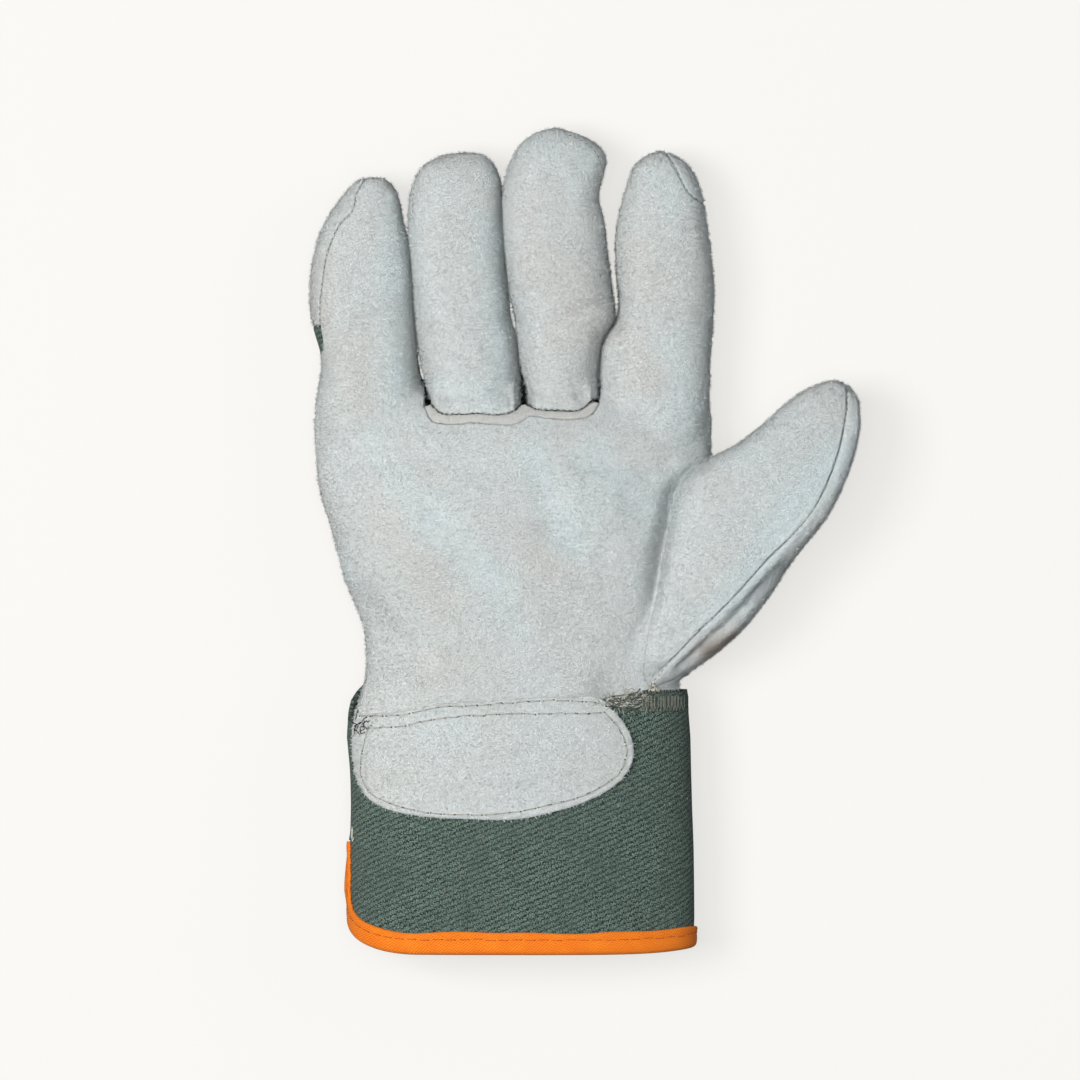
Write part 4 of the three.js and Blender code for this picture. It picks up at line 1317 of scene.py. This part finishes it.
THREAD = 0.36                # thickness of the thread that holds the patch
FINE_THREAD = 0.22           # and of the seams' own
PATCH_ROW = [
    (-44.5, 70), (-46.5, 63), (-46.5, 54), (-44, 50), (-39.5, 47.5), (-29, 44.5), (-18, 43.5), (-7, 43.5),
    (2, 44.5), (11.5, 46.5), (21, 49), (28, 52.5), (33, 56.5), (35, 61.5), (34.5, 66), (31.5, 71.5),
    (28.5, 74.5), (26.5, 77.5)]
UPPER_ROW = [(-47.6, 73.6), (-35, 74), (-22.5, 76.5), (-10, 77), (2, 78), (14.5, 78.5), (26.4, 78)]
LOWER_ROW = [
    (-48.3, 70), (-35, 70.5), (-22.5, 73), (-10, 74), (2, 74.5), (14.5, 74.5), (24, 74.6), (30, 74.8)]
SHORT_ROW = [(-43.6, 70.9), (-46.5, 69.4), (-48.4, 68.2), (-49.8, 67)]
BACKTACKS = [[(23.4, 78.3), (27.6, 76.7)], [(24.2, 77), (27.8, 77.8)], [(25.8, 79), (28.6, 75.6)]]


def build_patch_stitches():
    ground = Ground("palm_suede", "patch_suede", "cuff_twill")
    paths, holes = [], []
    for row in (PATCH_ROW, UPPER_ROW, LOWER_ROW, SHORT_ROW):
        made = running(ground, row, 3.3, 0.75, THREAD)
        paths += made[0]
        holes += made[1]
    for row in BACKTACKS:
        paths += running(ground, row, 2.4, 0.3, THREAD)[0]
    threads("patch_stitches", paths, THREAD, thread)
    # dark stubs at each stitch's ends: painted shade in the needle holes
    threads("patch_needle_hole_shade", stubs(holes, 0.5, 0.08), 0.55, dark_thread_and_hole_shade)
    tangle = [curl(ground, chance.uniform(-49.6, -46), chance.uniform(70, 76), 3.5, any_turn(), 0.3, 1.5)
              for _ in range(12)]
    threads("wrist_thread_ends", tangle, 0.3, dark_thread_and_hole_shade)


def build_seam_stitches():
    ground = Ground(
        "palm_suede", "thumb_front_suede", "thumb_back_suede", "little_fingertip_back_suede",
        "index_finger_back_suede", "ring_finger_front_suede", "middle_finger_front_suede", "base_welt")
    paths = []
    for line, side in ((thumb_seam, 0.0), (little_seam, 0.1), (index_seam, 0.0), (welt_high, 0.2),
                       (RING_SEAM, 0.0), (MIDDLE_SEAM, 0.0)):
        paths += running(ground, beside(line, side), 0.9, 0.9, FINE_THREAD, 0.08)[0]
    threads("seam_stitches", paths, FINE_THREAD, seam_thread)
    x, y = THUMB_SEAM_END
    knot = [curl(ground, x + chance.normal(0, 0.4), y + chance.normal(0, 0.4), 2.6, any_turn(),
                 chance.uniform(0.2, 1.0), 3.0) for _ in range(16)]
    threads("seam_knot", knot, 0.42, pale_thread)


LOCK_FROM, LOCK_TO = 28.2, 53.4      # x of the overlocked stretch of the cuff's upper edge
LOCK_LOOSE = 42                      # up to here its threads lie loose, then in upright loops


def build_overlock():
    """Overlock threads over the cuff's upper edge at the thumb's side, with dark strands beside them as
    painted shadow.
    """
    ground = Ground("palm_suede", "cuff_twill", "patch_suede", "thumb_back_suede")
    loose, loops, shadow_strands = [], [], []
    for _ in range(110):
        x = chance.uniform(LOCK_FROM, LOCK_LOOSE)
        share = (x - LOCK_FROM) / (LOCK_LOOSE - LOCK_FROM)
        y = 77.8 + share * 1.8 + chance.uniform(-1, 1) * (0.5 + 2.2 * share**0.5)
        loose.append(curl(ground, x, y, chance.uniform(1.6, 4), chance.choice([0.3, -0.3, 2.9]), 0.2, 1.3))
        # some loose threads get a dark strand just below as painted shadow
        if chance.random() < 0.4:
            long, turn = chance.uniform(1.6, 4), chance.choice([0.3, -0.3])
            shadow_strands.append(curl(ground, x, y - 0.3, long, turn, 0.12, 0.9))
    x = LOCK_LOOSE - 2
    while x < LOCK_TO:
        lean = chance.normal(0, 0.25)
        spots = [(x, 81.6), (x + lean, 79.4), (x + lean, 77), (x + 0.35, 75.1), (x + 0.75, 77),
                 (x + 0.7, 79.4), (x + 0.9, 81.6)]
        loops.append([ground.over(*spot, 0.3 + 0.1 * (index % 2)) for index, spot in enumerate(spots)])
        # a dark strand beside each loop as painted shadow
        shadow_strands.append([ground.over(sx + 0.5, sy, 0.16) for sx, sy in spots[:4]])
        x += chance.uniform(0.85, 1.15)
    loops += running(ground, [(LOCK_LOOSE - 3, 75.4), (LOCK_TO, 75.6)], 2.2, 0.3, 0.32)[0]
    loops += running(ground, [(LOCK_LOOSE - 5, 78.6), (LOCK_TO, 79)], 2.2, 0.3, 0.32)[0]
    threads("overlock_loose", loose, 0.2, thread)
    threads("overlock_loops", loops, FINE_THREAD, lock_thread)
    threads("overlock_painted_shadow", shadow_strands, 0.45, painted_shadow_thread)


def build_cuff_threads():
    ground = Ground("cuff_twill", "binding_cloth")
    lint = [curl(ground, chance.uniform(-48, 54), chance.uniform(8, 74), chance.uniform(0.4, 1.2), any_turn(),
                 0.12, 1.2) for _ in range(420)]
    threads("lint", lint, 0.09, thread, 0)
    ends = [curl(ground, -49.6 + chance.normal(0, 0.25), chance.uniform(34.5, 37.5), 2.0,
                 chance.uniform(1, 2), 0.3) for _ in range(9)]
    threads("vent_thread_ends", ends, 0.3, pale_thread)


def build_binding_stitches():
    """Stitches through the binding, a little below its inner edge, on its outer side."""
    path = binding_path(0.5)
    run = unit(np.gradient(path, axis=0))
    inside = path - np.column_stack([run[:, 1], -run[:, 0]]) * (TAPE_WIDTH - 2.2)
    high = CUFF_WALL / 2 + TAPE
    paths = []
    holes = []
    for start in range(4, len(inside) - 8, 8):
        spots = inside[start:start + 8] + chance.normal(0, 0.1, 2)
        out = high + np.array([-0.3, 0.0, 0.08, 0.1, 0.1, 0.08, 0.0, -0.3]) - 0.08
        paths.append([Vector(spot) for spot in on_cuff(spots[:, 0], spots[:, 1], out)])
        # a dark tube at each stitch's start: painted shade in its needle hole
        holes.append([Vector(spot) for spot in on_cuff(spots[:2, 0], spots[:2, 1], out[:2] + 0.1)])
    threads("binding_stitches", paths, 0.24, tape_thread)
    threads("binding_needle_hole_shade", holes, 0.34, tape_hole_shade)


def build_nap():
    """Loose fibres of the leather's nap: thin curled ribbons that lie along it."""
    others = [name for name in nap_spots if name != "palm_suede"]
    for name, sources in (("palm_nap", ["palm_suede"]), ("finger_and_thumb_nap", others)):
        place, facing = (np.concatenate([nap_spots[source][k] for source in sources]) for k in (0, 1))
        count = len(place)
        along = unit(np.cross(facing, chance.normal(size=(count, 3))))
        side = np.cross(facing, along)
        length = chance.uniform(0.6, 1.3, (count, 1))
        width = chance.uniform(0.08, 0.16, (count, 1))
        bend = chance.normal(0, 0.3, (count, 1))
        lift = chance.uniform(0.08, 0.4, (count, 1)) + 0.55 * (chance.random((count, 1)) < 0.3)
        middle = place + along * length * 0.5 + facing * (0.14 + lift * 0.4) + side * bend * 0.4
        tip = place + along * length * 0.9 + facing * lift + side * bend
        start = place - facing * 0.1
        places = np.stack([start - side * width, start + side * width, middle - side * width * 0.8,
                           middle + side * width * 0.8, tip], axis=1).reshape(-1, 3)
        first = np.arange(count)[:, None] * 5
        mesh = bpy.data.meshes.new(name)
        faces = [*(first + [0, 1, 3, 2]).tolist(), *(first + [2, 3, 4]).tolist()]
        mesh.from_pydata(places.tolist(), [], faces)
        finish_piece(linked(name, mesh), None, leather)


build_patch_stitches()
build_seam_stitches()
build_overlock()
build_cuff_threads()
build_binding_stitches()
build_nap()


# Stage, camera and light

VIEW_X, VIEW_Y = 8.37, 128.03   # the maker's millimetres at the middle of the view
VIEW_WIDTH = 334.8              # millimetres that the view takes in, at the glove's mid height
VIEW_Z = 16
CAMERA_AWAY = 4.0
SENSOR = 36
SKY = 0.11                      # strength of the light from all round
# Square lights aimed at the glove: name, place, size, power, colour
LIGHTS = [
    ("key_light", (-0.95, 0.1, 1.85), 0.8, 66, (1, 0.985, 0.965)),
    ("right_light", (1.6, 0.4, 1.1), 1.2, 12, (0.96, 0.98, 1)),
    ("top_light", (-0.1, 0.0, 2.3), 0.9, 45, (0.98, 0.99, 1))]


def build_stage():
    deselect()
    bpy.ops.mesh.primitive_plane_add(size=12)
    floor = bpy.context.active_object
    floor.name = "floor"
    floor.data.materials.append(floor_material())

    camera_data = bpy.data.cameras.new("camera")
    camera = linked("camera", camera_data)
    camera_data.sensor_width = SENSOR
    camera_data.lens = SENSOR * CAMERA_AWAY / (VIEW_WIDTH * MM)
    camera_data.clip_end = 20
    camera.location = ((VIEW_X - CENTRE_X) * MM, (VIEW_Y - CENTRE_Y) * MM, CAMERA_AWAY + VIEW_Z * MM)
    bpy.context.scene.camera = camera

    for name, place, size, power, colour in LIGHTS:
        data = bpy.data.lights.new(name, "AREA")
        data.shape = "SQUARE"
        data.size = size
        data.energy = power
        data.color = colour
        light = linked(name, data)
        light.location = place
        light.rotation_euler = (-Vector(place)).to_track_quat("-Z", "Y").to_euler()
    world = bpy.data.worlds.new("studio")
    world.use_nodes = True
    background = world.node_tree.nodes["Background"].inputs
    background["Color"].default_value = (0.97, 0.98, 1, 1)
    background["Strength"].default_value = SKY
    bpy.context.scene.world = world
    bpy.context.scene.view_settings.view_transform = "Standard"


build_stage()
